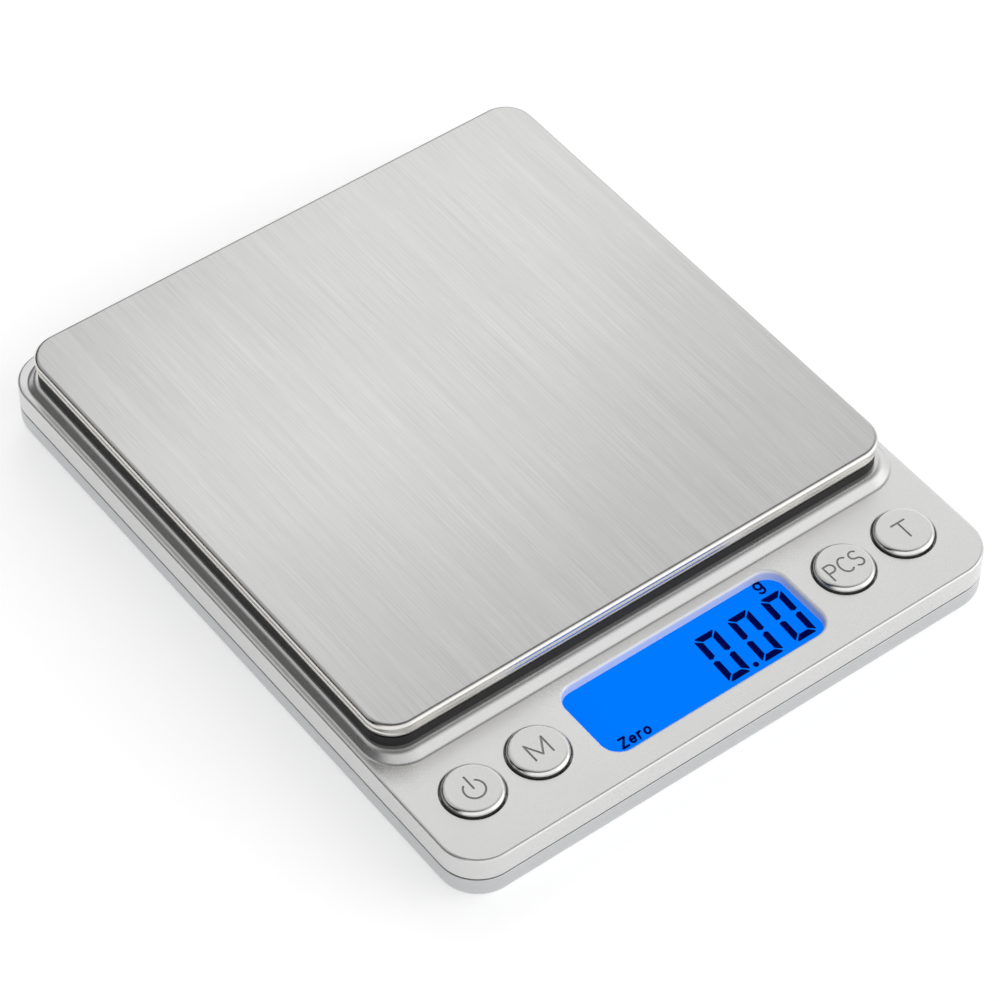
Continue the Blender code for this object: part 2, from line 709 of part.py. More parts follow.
def button_set(name, x, finishes, housing, group):
    """Cap with a flange under the deck, the switch on the board and the plunger between."""
    flange_top = DECK_CEILING - FLANGE_GAP - DECK_HEIGHT
    flange_low = flange_top - FLANGE_THICKNESS
    profile = [
        (FLANGE_RADIUS, flange_low),
        (FLANGE_RADIUS, flange_top),
        (BUTTON_RADIUS, flange_top),
    ]
    for r, z in arc(BUTTON_ROLL, 0, 90, 4):
        profile.append((BUTTON_RADIUS - BUTTON_ROLL + r, BUTTON_PROUD - BUTTON_ROLL + z))
    mesh = bmesh.new()
    add_round(mesh, (0, 0), profile, 32)
    solid(mesh, f"button_{name}", finishes["button"], group, group.location)

    plunger_top = DECK_HEIGHT + flange_low - PLUNGER_GAP
    mesh = bmesh.new()
    add_cylinder(mesh, (x, BUTTON_Y), PLUNGER_RADIUS, plunger_top - PLUNGER_LENGTH, plunger_top, 20)
    solid(mesh, f"switch_plunger_{name}", finishes["epoxy"], group)

    mesh = bmesh.new()
    low = BOARD_TOP + SMALL_GAP
    add_box(mesh, (SWITCH_SIDE, SWITCH_SIDE), (x, BUTTON_Y), low, low + SWITCH_HEIGHT, SMALL_GAP)
    body = solid(mesh, f"switch_{name}", finishes["epoxy"], housing)
    well = bmesh.new()
    add_cylinder(well, (x, BUTTON_Y), PLUNGER_RADIUS + THREAD_GAP, SWITCH_WELL, DECK_HEIGHT, 20)
    combine(body, well, "DIFFERENCE")


def battery_bay(finishes, housing, group):
    """Two coin cells, their contacts, and the sliding door with its link plate."""
    for side, x in (("left", -COIN_X), ("right", COIN_X)):
        mesh = bmesh.new()
        step = COIN_BOTTOM + COIN_STEP
        top = COIN_BOTTOM + COIN_THICKNESS
        profile = [(COIN_RADIUS - COIN_EDGE, COIN_BOTTOM), (COIN_RADIUS - COIN_EDGE + COIN_STEP, step)]
        profile += [(COIN_RADIUS - SMALL_GAP, step), (COIN_RADIUS, step + SMALL_GAP)]
        profile += [(COIN_RADIUS, top - 2 * SMALL_GAP), (COIN_RADIUS - 2 * SMALL_GAP, top)]
        add_round(mesh, (x, COIN_Y), profile, 32)
        solid(mesh, f"coin_cell_{side}", finishes["coin_steel"], housing)

        mesh = bmesh.new()
        front, back = COIN_Y - CONTACT_HALF, COIN_Y + CONTACT_HALF
        points = [
            (x - TAIL_HALF, TAIL_FRONT),
            (x + TAIL_HALF, TAIL_FRONT),
            (x + TAIL_HALF, front),
            (x + CONTACT_HALF, front),
            (x + CONTACT_HALF, back),
            (x - CONTACT_HALF, back),
            (x - CONTACT_HALF, front),
            (x - TAIL_HALF, front),
        ]
        add_prism(mesh, points, "Z", CONTACT_LOW, CONTACT_LOW + CONTACT_SHEET)
        solid(mesh, f"battery_contact_{side}", finishes["screw_steel"], housing)

    mesh = bmesh.new()
    add_box(mesh, LINK_SIZE[:2], (0, COIN_Y), LINK_LOW, LINK_LOW + LINK_SIZE[2])
    solid(mesh, "battery_link", finishes["screw_steel"], group)

    mesh = bmesh.new()
    step = CHANNEL_STEP + GAP
    section = channel_outline(DOOR_HALF_WIDTH, DOOR_TONGUE - GAP, SHELL_BOTTOM, step, DOOR_TOP)
    add_prism(mesh, section, "Y", DOOR_FRONT, DOOR_FRONT + DOOR_LENGTH)
    door = solid(mesh, "battery_door", finishes["silver_lower"], group)
    grips = bmesh.new()
    for number in range(GRIP_COUNT):
        y = DOOR_FRONT + GRIP_START + number * GRIP_SPACING
        add_box(grips, GRIP_SIZE[:2], (0, y), 0.0, SHELL_BOTTOM + GRIP_SIZE[2])
    combine(door, grips, "DIFFERENCE")


def wire(name, route, radius, finish, parent):
    """A round lead along a smooth curve through the points of route."""
    points = [Vector(point) for point in route]
    padded = [2 * points[0] - points[1], *points, 2 * points[-1] - points[-2]]
    smooth = []
    for before, start, end, after in zip(padded, padded[1:], padded[2:], padded[3:]):
        for split in range(WIRE_SPLITS):
            t = split / WIRE_SPLITS
            pull = (end - before) * t + (2 * before - 5 * start + 4 * end - after) * t * t
            pull += (3 * start - before - 3 * end + after) * t**3
            smooth.append(start + pull / 2)
    smooth.append(points[-1])
    data = bpy.data.curves.new(name, "CURVE")
    data.dimensions = "3D"
    data.bevel_depth = radius
    data.bevel_resolution = 2
    data.use_fill_caps = True
    spline = data.splines.new("POLY")
    spline.points.add(len(smooth) - 1)
    for point, spot in zip(spline.points, smooth):
        point.co = (*spot, 1.0)
    place(data, name, finish, parent, (0.0, 0.0, 0.0))


def wiring(finishes, parent):
    """The load cell's cable and the two battery leads, all to the back edge of the board."""
    floor = SHELL_FLOOR + CABLE_RADIUS + GAP
    over_board = BOARD_TOP + CABLE_RADIUS + SMALL_GAP
    cell_front = PLATFORM_Y - CELL_SIZE[1] / 2
    route = [
        (0.0, cell_front - 0.0011, 0.0068),
        (0.0, cell_front - 0.0016, 0.0052),
        (-0.0005, cell_front - 0.0040, floor + 0.0002),
        (-0.0030, -0.0100, floor),
        (0.0030, -0.0240, floor),
        (0.0060, -0.0330, floor + 0.0006),
        (0.0060, -0.0372, over_board + 0.0001),
        (0.0060, -0.0406, over_board),
    ]
    wire("load_cell_cable", route, CABLE_RADIUS, finishes["grey_cable"], parent)
    contact_mid = CONTACT_LOW + CONTACT_SHEET / 2
    for side, sign, colour in (("left", -1, "black_wire"), ("right", 1, "red_wire")):
        route = [
            (sign * COIN_X, TAIL_FRONT - LEAD_RADIUS, contact_mid),
            (sign * 0.0120, 0.0298, 0.0056),
            (sign * 0.0200, 0.0270, 0.0042),
            (sign * 0.0275, 0.0200, floor),
            (sign * 0.0285, 0.0000, floor),
            (sign * 0.0250, -0.0200, floor),
            (sign * 0.0205, -0.0330, floor + 0.0006),
            (sign * 0.0200, -0.0372, over_board),
            (sign * 0.0200, -0.0404, over_board - 0.0001),
        ]
        wire(f"battery_lead_{side}", route, LEAD_RADIUS, finishes[colour], parent)


def rubber_feet(finish, parent):
    profile = [
        (FOOT_RADIUS - FOOT_CHAMFER, 0.0),
        (FOOT_RADIUS, FOOT_CHAMFER),
        (FOOT_RADIUS, FOOT_TOP),
    ]
    for name, spot in FEET.items():
        mesh = bmesh.new()
        add_round(mesh, spot, profile, 28)
        solid(mesh, f"foot_{name}", finish, parent)


def overload_stops(finish, parent):
    for name, spot in STOPS.items():
        mesh = bmesh.new()
        add_cylinder(mesh, spot, STOP_RADIUS, PLATEAU_CEILING + SMALL_GAP, STOP_TOP, 16)
        solid(mesh, f"overload_stop_{name}", finish, parent)


def make_finishes():
    return {
        "silver": material("silver_upper", (0.62, 0.62, 0.62), 0.38, 0.3),
        "silver_lower": material("silver_lower", (0.52, 0.54, 0.56), 0.42, 0.3),
        "steel": material("brushed_steel", (0.60, 0.60, 0.59), 0.30, 1.0),
        "black_plastic": material("black_plastic", (0.03, 0.03, 0.032), 0.5),
        "button": material("satin_button", (0.62, 0.62, 0.62), 0.30, 0.4),
        "lcd": material("blue_display", (0.0, 0.2, 1.0), 0.12),
        "light_guide": material("light_guide", (0.75, 0.85, 0.95), 0.3),
        "white_plastic": material("white_plastic", (0.85, 0.85, 0.83), 0.5),
        "elastomer": material("grey_elastomer", (0.35, 0.35, 0.36), 0.7),
        "board": material("green_board", (0.03, 0.22, 0.08), 0.4),
        "epoxy": material("black_epoxy", (0.02, 0.02, 0.02), 0.35),
        "aluminium": material("cell_aluminium", (0.78, 0.79, 0.80), 0.35, 1.0),
        "gauge": material("gauge_foil", (0.62, 0.38, 0.12), 0.4),
        "adhesive": material("adhesive_foam", (0.80, 0.80, 0.76), 0.8),
        "screw_steel": material("plated_steel", (0.66, 0.66, 0.64), 0.3, 1.0),
        "coin_steel": material("coin_steel", (0.72, 0.72, 0.72), 0.28, 1.0),
        "rubber": material("foot_rubber", (0.05, 0.05, 0.05), 0.85),
        "grey_cable": material("grey_cable", (0.35, 0.35, 0.36), 0.6),
        "red_wire": material("red_wire", (0.55, 0.03, 0.02), 0.5),
        "black_wire": material("black_wire", (0.02, 0.02, 0.02), 0.5),
    }


def main():
    clear_scene()
    finishes = make_finishes()
    housing = empty("housing_group")
    platform = empty("platform_group", (0.0, PLATFORM_Y, PLATFORM_TOP))
    door = empty("battery_door_group", (0.0, DOOR_FRONT, SHELL_BOTTOM))

    upper_housing(finishes["silver"], housing)
    lower_housing(finishes["silver_lower"], housing)
    steel_platform(finishes["steel"], platform)
    platform_carrier(finishes["black_plastic"], platform)
    adhesive_sheet(finishes["adhesive"], platform)
    display(finishes, housing)
    main_board(finishes, housing)
    for name, x in BUTTONS.items():
        button_set(name, x, finishes, housing, empty(f"button_{name}_group", (x, BUTTON_Y, DECK_HEIGHT)))
    load_cell(finishes["aluminium"], housing)
    strain_gauges(finishes["gauge"], housing)
    load_cell_spacer(finishes["aluminium"], housing)
    battery_bay(finishes, housing, door)
    wiring(finishes, housing)
    rubber_feet(finishes["rubber"], housing)
    overload_stops(finishes["screw_steel"], housing)

    steel = finishes["screw_steel"]
    for name, spot in SCREWS.items():
        screw(f"housing_screw_{name}", spot, SCREW_RADIUS, SCREW_TOP, HEAD_LOW, HEAD_TOP, steel, housing)
    cell_tip = CELL_TOP - SCREW_RADIUS
    for name, spot in CELL_FIXED.items():
        screw(f"cell_screw_{name}", spot, CELL_SCREW_RADIUS, cell_tip, HEAD_LOW, HEAD_TOP, steel, housing)
    head_top = CARRIER_TOP - SMALL_GAP
    seat = head_top - (HEAD_TOP - HEAD_LOW)
    for name, spot in CELL_FREE.items():
        shank = CELL_SCREW_RADIUS
        screw(f"transfer_screw_{name}", spot, shank, TRANSFER_SCREW_LOW, head_top, seat, steel, platform)


main()
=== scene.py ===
"""Digital gram scale: the finished surfaces, their materials and a studio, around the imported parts."""

import json
import math

import bmesh
import bpy
from mathutils import Matrix, Vector

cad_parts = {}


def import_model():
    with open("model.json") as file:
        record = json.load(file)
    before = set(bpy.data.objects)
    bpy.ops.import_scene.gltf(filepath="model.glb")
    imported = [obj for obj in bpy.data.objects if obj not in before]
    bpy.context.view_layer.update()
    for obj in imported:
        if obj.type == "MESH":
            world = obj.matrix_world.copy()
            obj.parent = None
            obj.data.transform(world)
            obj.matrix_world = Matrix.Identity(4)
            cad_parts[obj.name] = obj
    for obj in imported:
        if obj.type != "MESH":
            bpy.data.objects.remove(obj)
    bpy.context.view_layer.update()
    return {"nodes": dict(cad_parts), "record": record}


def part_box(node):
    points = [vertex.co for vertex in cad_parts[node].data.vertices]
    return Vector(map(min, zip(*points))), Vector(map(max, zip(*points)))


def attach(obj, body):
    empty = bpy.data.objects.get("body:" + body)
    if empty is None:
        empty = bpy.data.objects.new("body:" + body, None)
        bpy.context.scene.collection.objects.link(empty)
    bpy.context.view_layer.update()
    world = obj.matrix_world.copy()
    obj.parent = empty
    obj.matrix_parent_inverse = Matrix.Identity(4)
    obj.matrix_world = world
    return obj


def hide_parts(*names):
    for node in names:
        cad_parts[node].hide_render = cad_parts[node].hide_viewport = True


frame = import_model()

MM = 0.001

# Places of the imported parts
UPPER_LOW, UPPER_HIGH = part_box("upper_housing")
LOWER_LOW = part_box("lower_housing")[0]
STEEL_LOW, STEEL_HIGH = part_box("steel_platform")
CARRIER_LOW, CARRIER_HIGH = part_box("platform_carrier")
LCD_LOW, LCD_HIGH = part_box("lcd_panel")
DOOR_LOW, DOOR_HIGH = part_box("battery_door")
CELL_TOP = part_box("load_cell")[1].z

HALF_WIDTH = UPPER_HIGH.x
HALF_LENGTH = UPPER_HIGH.y
PLATEAU_TOP = UPPER_HIGH.z
PLATFORM_Y = (STEEL_LOW.y + STEEL_HIGH.y) / 2
PLATFORM_HALF = STEEL_HIGH.x
CORNERS = [f"{end}_{side}" for end in ("front", "back") for side in ("left", "right")]

# Housing: outline, walls and the heights that no box gives
HOUSING_CORNER = 7.0 * MM
DECK = 10.75 * MM
DECK_ROUNDING = 0.5 * MM
BOTTOM_ROUNDING = 2.2 * MM
LIP_ROUNDING = 0.15 * MM
WALL = 2.0 * MM
FLOOR = 1.6 * MM
TONGUE_INSET = 1.2 * MM
TONGUE_TOP = 7.0 * MM
TONGUE_GAP = 0.3 * MM
SMALL_GAP = 0.1 * MM
DECK_CEILING = DECK - WALL
PLATEAU_CEILING = PLATEAU_TOP - FLOOR
OVERRUN = 1.0 * MM

# Plateau under the platform: foot on the deck, shoulder at its top
PLATEAU_FOOT = {"half_x": 51.6 * MM, "front": 21.4 * MM, "back": 1.6 * MM, "corner": 6.8 * MM}
PLATEAU_SHOULDER = {"half_x": 49.9 * MM, "front": 24.1 * MM, "back": 3.1 * MM, "corner": 5.2 * MM}
FOOT_EASE = 0.2
SHOULDER_EASE = 0.4
PLATEAU_STEPS = 24

# Window over the display
WINDOW_HALF = (21.6 * MM, 7.55 * MM)
WINDOW_Y = (LCD_LOW.y + LCD_HIGH.y) / 2
WINDOW_CORNER = 3.3 * MM
WINDOW_LIP = 0.55 * MM

# Display: panel, digits and signs, each sign with its height, stroke width, middle and slant
LCD_CORNER = 0.6 * MM
LCD_EDGE = 0.15 * MM
INK_THICKNESS = 0.03 * MM
DIGIT_COUNT = 3
DIGIT_SIZE = (4.25 * MM, 10.0 * MM)
DIGIT_STROKE = 1.15 * MM
DIGIT_GAP = 0.09 * MM
DIGIT_PITCH = 6.65 * MM
DIGIT_SLANT = math.tan(math.radians(3.0))
FIRST_DIGIT = (2.75 * MM, -57.1 * MM)
POINT_RADIUS = 0.5 * MM
SIGN_SPACING = 0.3
DISPLAY_SIGNS = [
    ("g", 2.3 * MM, 0.42 * MM, (18.4 * MM, -44.9 * MM), 0.0),
    ("Zero", 1.75 * MM, 0.40 * MM, (-15.4 * MM, -56.35 * MM), 0.18),
]

# Buttons, each with the mark engraved in its cap
BUTTONS = ("power", "mode", "pieces", "tare")
BUTTON_HOLE = 5.2 * MM
BUTTON_HOLE_LIP = 0.12 * MM
BUTTON_ROLL = 0.75 * MM
CAP_RADIUS = 4.9 * MM
FLANGE_HEIGHT = 0.4 * MM
MARK_DEPTH = 0.10 * MM
MARK_WIDTH = 0.34 * MM

# Steel cap
STEEL_CORNER = 5.4 * MM
STEEL_SHEET = 0.4 * MM
STEEL_BEND = 0.8 * MM
RIM_GROOVE = 0.07 * MM
RIM_TUCK = 0.22 * MM
GRAIN_FAR = 100.0  # middle of the sheen's rings: so far off that they run straight

# Carrier, and the screws into the load cell
CARRIER_WALL = 1.5 * MM
CARRIER_PLATE = 1.0 * MM
CARRIER_EDGE = 0.3 * MM
RIB_SPACING = (32.5 * MM, 25.0 * MM)
RIB_HALF = 0.6 * MM
RIB_BOTTOM = 13.3 * MM
RIB_REACH = PLATFORM_HALF - CARRIER_WALL * 0.8
STOPS = [f"overload_stop_{corner}" for corner in CORNERS]
STOP_PAD = 3.0 * MM
STOP_GAP = 0.45 * MM
BOSS_HALF = (5.9 * MM, 4.8 * MM)
BOSS_GAP = 0.55 * MM
TRANSFER_SCREWS = ["transfer_screw_inner", "transfer_screw_outer"]
SCREW_SHANK = 1.3 * MM
HEAD_HEIGHT = 1.1 * MM

# Underside: screws, with their dome given in shares of the head, and feet
HOUSING_SCREWS = [f"housing_screw_{corner}" for corner in CORNERS]
CELL_SCREWS = ["cell_screw_inner", "cell_screw_outer"]
FEET = [f"foot_{corner}" for corner in CORNERS]
FOOT_EDGE = 0.35 * MM
DOME_HEIGHT = 0.55 * HEAD_HEIGHT
DOME_FLAT = 0.35
DOME_START = 0.55
DOME_ROLL = 0.45
POCKET_EDGE = 0.25 * MM
BOSS_RADIUS = 2.6 * MM
POST_RADIUS = 1.8 * MM
POST_INSET = 1.9 * MM
CROSS_ARM = (1.2 * MM, 0.3 * MM)
CROSS_DEPTH = 0.6 * MM

# Battery bay: sliding door, its channel, and the coin cells' cap as insets and heights
DOOR_TONGUE = 1.5 * MM
DOOR_PLATE_HALF = DOOR_HIGH.x - DOOR_TONGUE + TONGUE_GAP
CHANNEL_STEP = 1.6 * MM
CHANNEL_CEILING = 2.6 * MM
CHANNEL_BLOCK_TOP = 4.0 * MM
BAY_HALF = (21.3 * MM, 10.5 * MM)
BAY_CEILING = 6.6 * MM
BAY_WALL = 1.5 * MM
DOOR_EDGE = 0.22 * MM
GRIP_HALF = (7.0 * MM, 0.5 * MM)
GRIP_DEPTH = 0.4 * MM
GRIP_START = 4.5 * MM
GRIP_SPACING = 2.2 * MM
GRIP_COUNT = 3
ARROW = 2.6 * MM
CELL_CAP = ((1.7 * MM, 0.0), (1.5 * MM, 0.06 * MM), (1.4 * MM, 0.45 * MM), (1.1 * MM, 0.55 * MM))
CRIMP_RADIUS = 0.35 * MM
CRIMP_MIDDLE = 0.9 * MM
CAN_ROUNDING = 0.25 * MM

CORNER_STEPS = 20
ROUND_STEPS = 96


# ---------------------------------------------------------------- materials


class Signal:
    """A number from a shader node: arithmetic on it adds Math nodes."""

    def __init__(self, nodes, socket):
        self.nodes = nodes
        self.socket = socket

    def math(self, operation, *values):
        return self.nodes.node("ShaderNodeMath", {"operation": operation}, dict(enumerate(values)))

    def __add__(self, other):
        return self.math("ADD", self, other)

    def __sub__(self, other):
        return self.math("SUBTRACT", self, other)

    def __rsub__(self, other):
        return self.math("SUBTRACT", other, self)

    def __mul__(self, other):
        return self.math("MULTIPLY", self, other)

    def __truediv__(self, other):
        return self.math("DIVIDE", self, other)

    def __pow__(self, other):
        return self.math("POWER", self, other)

    __radd__ = __add__
    __rmul__ = __mul__

    def over(self, edge, softness):
        """0 below edge, 1 above it, with a soft step between."""
        settings = {"interpolation_type": "SMOOTHSTEP"}
        span = {"Value": self, "From Min": edge - softness, "From Max": edge + softness}
        return self.nodes.node("ShaderNodeMapRange", settings, span)


class Nodes:
    """A node tree in the making."""

    def __init__(self, owner):
        owner.use_nodes = True
        self.tree = owner.node_tree

    def fill(self, socket, value):
        if isinstance(value, Signal):
            self.tree.links.new(value.socket, socket)
        elif socket.type == "RGBA" and len(value) == 3:
            socket.default_value = (*value, 1.0)
        else:
            socket.default_value = value

    def node(self, kind, settings=None, inputs=None, output=0):
        made = self.tree.nodes.new(kind)
        for name, value in (settings or {}).items():
            if name == "stops":
                self.ramp_stops(made.color_ramp, value)
            else:
                setattr(made, name, value)
        for name, value in (inputs or {}).items():
            self.fill(made.inputs[name], value)
        return Signal(self, made.outputs[output])

    def ramp_stops(self, ramp, stops):
        while len(ramp.elements) < len(stops):
            ramp.elements.new(1.0)
        for element, (position, colour) in zip(ramp.elements, stops):
            element.position = position
            element.color = (*colour, 1.0)

    def mix(self, share, first, second):
        return self.node("ShaderNodeMix", {"data_type": "RGBA"}, {0: share, 6: first, 7: second}, 2)


class Finish(Nodes):
    """A material in the making, around its Principled shader."""

    def __init__(self, name, constants):
        self.material = bpy.data.materials.new(name)
        super().__init__(self.material)
        self.shader = self.tree.nodes["Principled BSDF"]
        self.set(constants)

    def set(self, values):
        for name, value in values.items():
            self.fill(self.shader.inputs[name], value)

    def point(self, feature=(1.0, 1.0, 1.0)):
        """Place on the piece, in units of a feature's size along X, Y and Z."""
        place = self.node("ShaderNodeTexCoord", output="Object")
        scale = [1 / side for side in feature]
        return self.node("ShaderNodeVectorMath", {"operation": "MULTIPLY"}, {0: place, 1: scale})

    def noise(self, feature, detail=2.0, roughness=0.5):
        """Soft noise from 0 to 1 whose blobs are as large as feature, a length or one per axis."""
        sides = (feature,) * 3 if isinstance(feature, float) else feature
        inputs = {"Vector": self.point(sides), "Scale": 1.0, "Detail": detail, "Roughness": roughness}
        return self.node("ShaderNodeTexNoise", {"noise_dimensions": "3D"}, inputs)

    def cells(self, feature, output="Distance"):
        inputs = {"Vector": self.point((feature,) * 3), "Scale": 1.0}
        return self.node("ShaderNodeTexVoronoi", {}, inputs, output)

    def axis(self, name):
        """One coordinate on the piece, in metres."""
        place = self.node("ShaderNodeTexCoord", output="Object")
        return self.node("ShaderNodeSeparateXYZ", {}, {0: place}, name)

    def facing(self, name):
        """One component of the surface's own direction."""
        normal = self.node("ShaderNodeNewGeometry", output="Normal")
        return self.node("ShaderNodeSeparateXYZ", {}, {0: normal}, name)

    def bump(self, height, depth, strength=1.0, under=None):
        """A Bump node; depth is in metres. under is the bump that it lies on."""
        inputs = {"Height": height, "Distance": depth, "Strength": strength}
        if under is not None:
            inputs["Normal"] = under
        return self.node("ShaderNodeBump", {}, inputs)


def shade_of(colour, gain):
    return tuple(min(1.0, channel * gain) for channel in colour)


def silver_paint(name, colour, metallic, roughness):
    """Satin silver paint: fine metal flake, slight orange peel and faint handling haze."""
    finish = Finish(name, {"Metallic": metallic, "Coat Roughness": 0.10, "Specular IOR Level": 0.5})
    flake = finish.cells(0.09 * MM, "Color")
    sparkle = finish.node("ShaderNodeSeparateXYZ", {}, {0: flake}, "X")
    peel = finish.noise(1.1 * MM, 3.0)
    haze = finish.noise(14.0 * MM, 4.0)
    tone = finish.mix(sparkle * 0.55 + peel * 0.25, shade_of(colour, 0.93), shade_of(colour, 1.07))
    finish.set({
        "Base Color": finish.mix(haze.over(0.62, 0.25) * 0.12, tone, shade_of(colour, 0.9)),
        "Roughness": roughness + (haze - 0.5) * 0.07 + (sparkle - 0.5) * 0.05,
        "Coat Weight": 0.22 + (haze - 0.5) * 0.1,
        "Normal": finish.bump(sparkle, 0.0016 * MM, 0.2, finish.bump(peel, 0.004 * MM, 0.35)),
    })
    return finish.material


def brushed_steel():
    """Stainless sheet with straight grain from front to back, polished on its folded rim, whose colour is
    painted lighter and warmer there as a painted reflection.
    """
    finish = Finish("brushed_steel", {"Metallic": 1.0, "Anisotropic": 0.75})
    fine = finish.noise((0.16 * MM, 26.0 * MM, 0.5 * MM), 3.0, 0.62)
    hair = finish.noise((0.07 * MM, 9.0 * MM, 0.3 * MM), 2.0, 0.6)
    broad = finish.noise((1.7 * MM, 90.0 * MM, 4.0 * MM), 2.0)
    scratch = finish.noise((0.10 * MM, 5.0 * MM, 0.3 * MM), 0.0).over(0.76, 0.03)
    cloud = finish.noise(22.0 * MM, 3.0)
    grain = fine * 0.5 + hair * 0.3 + broad * 0.2
    tone = finish.mix(grain.over(0.5, 0.22), (0.405, 0.405, 0.402), (0.545, 0.543, 0.538))
    sheet = finish.mix(scratch * 0.25, tone, (0.68, 0.68, 0.67))
    # Where the sheet faces sideways, on the rim, its colour turns lighter and warmer: a painted reflection,
    # besides the rim's real lower roughness
    flat = finish.facing("Z").over(0.8, 0.15)
    finish.set({
        "Base Color": finish.mix(flat, (0.70, 0.685, 0.655), sheet),
        "Roughness": 0.20 + flat * 0.115 + (grain - 0.5) * 0.16 + (cloud - 0.5) * 0.05,
        "Normal": finish.bump(grain, 0.004 * MM, 0.45),
    })
    return finish.material


def black_plastic():
    """Charcoal moulding with a fine spark-eroded texture and paler blotches."""
    finish = Finish("black_plastic", {"Specular IOR Level": 0.22})
    erosion = finish.cells(0.22 * MM)
    blotch = finish.noise(6.0 * MM, 3.0)
    finish.set({
        "Base Color": finish.mix(blotch.over(0.5, 0.3), (0.013, 0.013, 0.013), (0.024, 0.024, 0.024)),
        "Roughness": 0.5 + (blotch - 0.5) * 0.15 + erosion * 0.08,
        "Normal": finish.bump(erosion, 0.012 * MM, 0.5),
    })
    return finish.material


def button_satin():
    """Satin cap whose rolled edge is polished."""
    colour = (0.72, 0.72, 0.71)
    finish = Finish("satin_button", {"Metallic": 0.62, "Coat Roughness": 0.08})
    up = finish.facing("Z")
    flat = up.over(0.93, 0.06)
    flake = finish.cells(0.09 * MM, "Color")
    sparkle = finish.node("ShaderNodeSeparateXYZ", {}, {0: flake}, "X")
    peel = finish.noise(0.8 * MM, 3.0)
    finish.set({
        "Base Color": finish.mix(sparkle, shade_of(colour, 0.95), shade_of(colour, 1.06)),
        "Roughness": 0.13 + flat * 0.24 + (peel - 0.5) * 0.05,
        "Metallic": 0.95 - flat * 0.45,
        "Coat Weight": 0.5 - flat * 0.3,
        "Normal": finish.bump(peel, 0.003 * MM, 0.3),
    })
    return finish.material


def mark_floor_painted_shade():
    """Floor of the engraved marks, a little darker than the cap: painted shade in the grooves."""
    finish = Finish("engraved_mark_painted_shade", {"Metallic": 0.3})
    grit = finish.noise(0.15 * MM, 2.0)
    finish.set({
        "Base Color": finish.mix(grit, (0.20, 0.20, 0.195), (0.34, 0.34, 0.33)),
        "Roughness": 0.5 + (grit - 0.5) * 0.2,
    })
    return finish.material


def lcd_blue():
    """Lit liquid crystal under a matt polariser: even blue, a little deeper towards the edges."""
    finish = Finish("blue_display", {"Specular IOR Level": 0.0})
    across = (finish.axis("X") / LCD_HIGH.x) ** 4
    tide = finish.noise(16.0 * MM, 2.0)
    grid = finish.noise(0.12 * MM, 1.0)
    share = across * 0.5 + (tide - 0.5) * 0.35 + (grid - 0.5) * 0.06
    lit = finish.mix(share, (0.0, 0.195, 1.0), (0.0, 0.155, 0.93))
    finish.set({
        "Base Color": (0.0, 0.01, 0.04),
        "Roughness": 0.35 + tide * 0.1,
        "Emission Color": lit,
        "Emission Strength": 0.98,
    })
    return finish.material


def lcd_ink():
    """Dark segments of the liquid crystal, which let a little blue through."""
    finish = Finish("lcd_segment", {"Specular IOR Level": 0.0})
    leak = finish.noise(0.5 * MM, 2.0)
    finish.set({
        "Base Color": finish.mix(leak, (0.0, 0.0, 0.004), (0.0, 0.001, 0.012)),
        "Roughness": 0.35 + leak * 0.1,
        "Emission Color": finish.mix(leak, (0.0, 0.001, 0.050), (0.001, 0.003, 0.085)),
        "Emission Strength": 0.9,
    })
    return finish.material


def moulded(name, colour, roughness, grain=0.3 * MM, depth=0.004 * MM, constants=None):
    """Moulded plastic or rubber with flow marks, tool texture and uneven gloss."""
    finish = Finish(name, constants or {})
    flow = finish.noise((3.0 * MM, 9.0 * MM, 3.0 * MM), 3.0)
    tool = finish.noise(grain, 3.0)
    finish.set({
        "Base Color": finish.mix(flow, shade_of(colour, 0.88), shade_of(colour, 1.12)),
        "Roughness": roughness + (flow - 0.5) * 0.14 + (tool - 0.5) * 0.08,
        "Normal": finish.bump(tool, depth, 0.5),
    })
    return finish.material


def metal(name, colour, roughness, grain):
    """Plated, rolled or milled metal: grain gives its tool marks' size along X, Y and Z."""
    finish = Finish(name, {"Metallic": 1.0})
    marks = finish.noise(grain, 3.0, 0.6)
    stain = finish.noise(3.5 * MM, 4.0)
    tarnish = finish.mix(stain.over(0.6, 0.2) * 0.3, shade_of(colour, 1.04), shade_of(colour, 0.72))
    finish.set({
        "Base Color": finish.mix(marks * 0.5, tarnish, shade_of(colour, 0.86)),
        "Roughness": roughness + (marks - 0.5) * 0.14 + (stain - 0.5) * 0.1,
        "Normal": finish.bump(marks, 0.004 * MM, 0.5),
    })
    return finish.material


def circuit_board():
    """Solder mask over copper tracks, with the weave of the laminate faintly raised."""
    finish = Finish("green_board", {"Coat Weight": 0.4, "Coat Roughness": 0.15})
    inputs = {"Vector": finish.point((2.2 * MM,) * 3), "Scale": 1.0}
    seams = finish.node("ShaderNodeTexVoronoi", {"feature": "DISTANCE_TO_EDGE"}, inputs)
    tracks = 1.0 - seams.over(0.1, 0.02)
    wave = {"wave_type": "BANDS", "bands_direction": "DIAGONAL"}
    weave = finish.node("ShaderNodeTexWave", wave, {"Vector": finish.point((MM,) * 3), "Scale": 2.0})
    mask = finish.mix(tracks, (0.012, 0.11, 0.035), (0.03, 0.22, 0.075))
    finish.set({
        "Base Color": finish.mix(weave * 0.2, mask, (0.02, 0.16, 0.06)),
        "Roughness": 0.33 + weave * 0.08,
        "Normal": finish.bump(tracks, 0.03 * MM, 0.6, finish.bump(weave, 0.006 * MM, 0.3)),
    })
    return finish.material


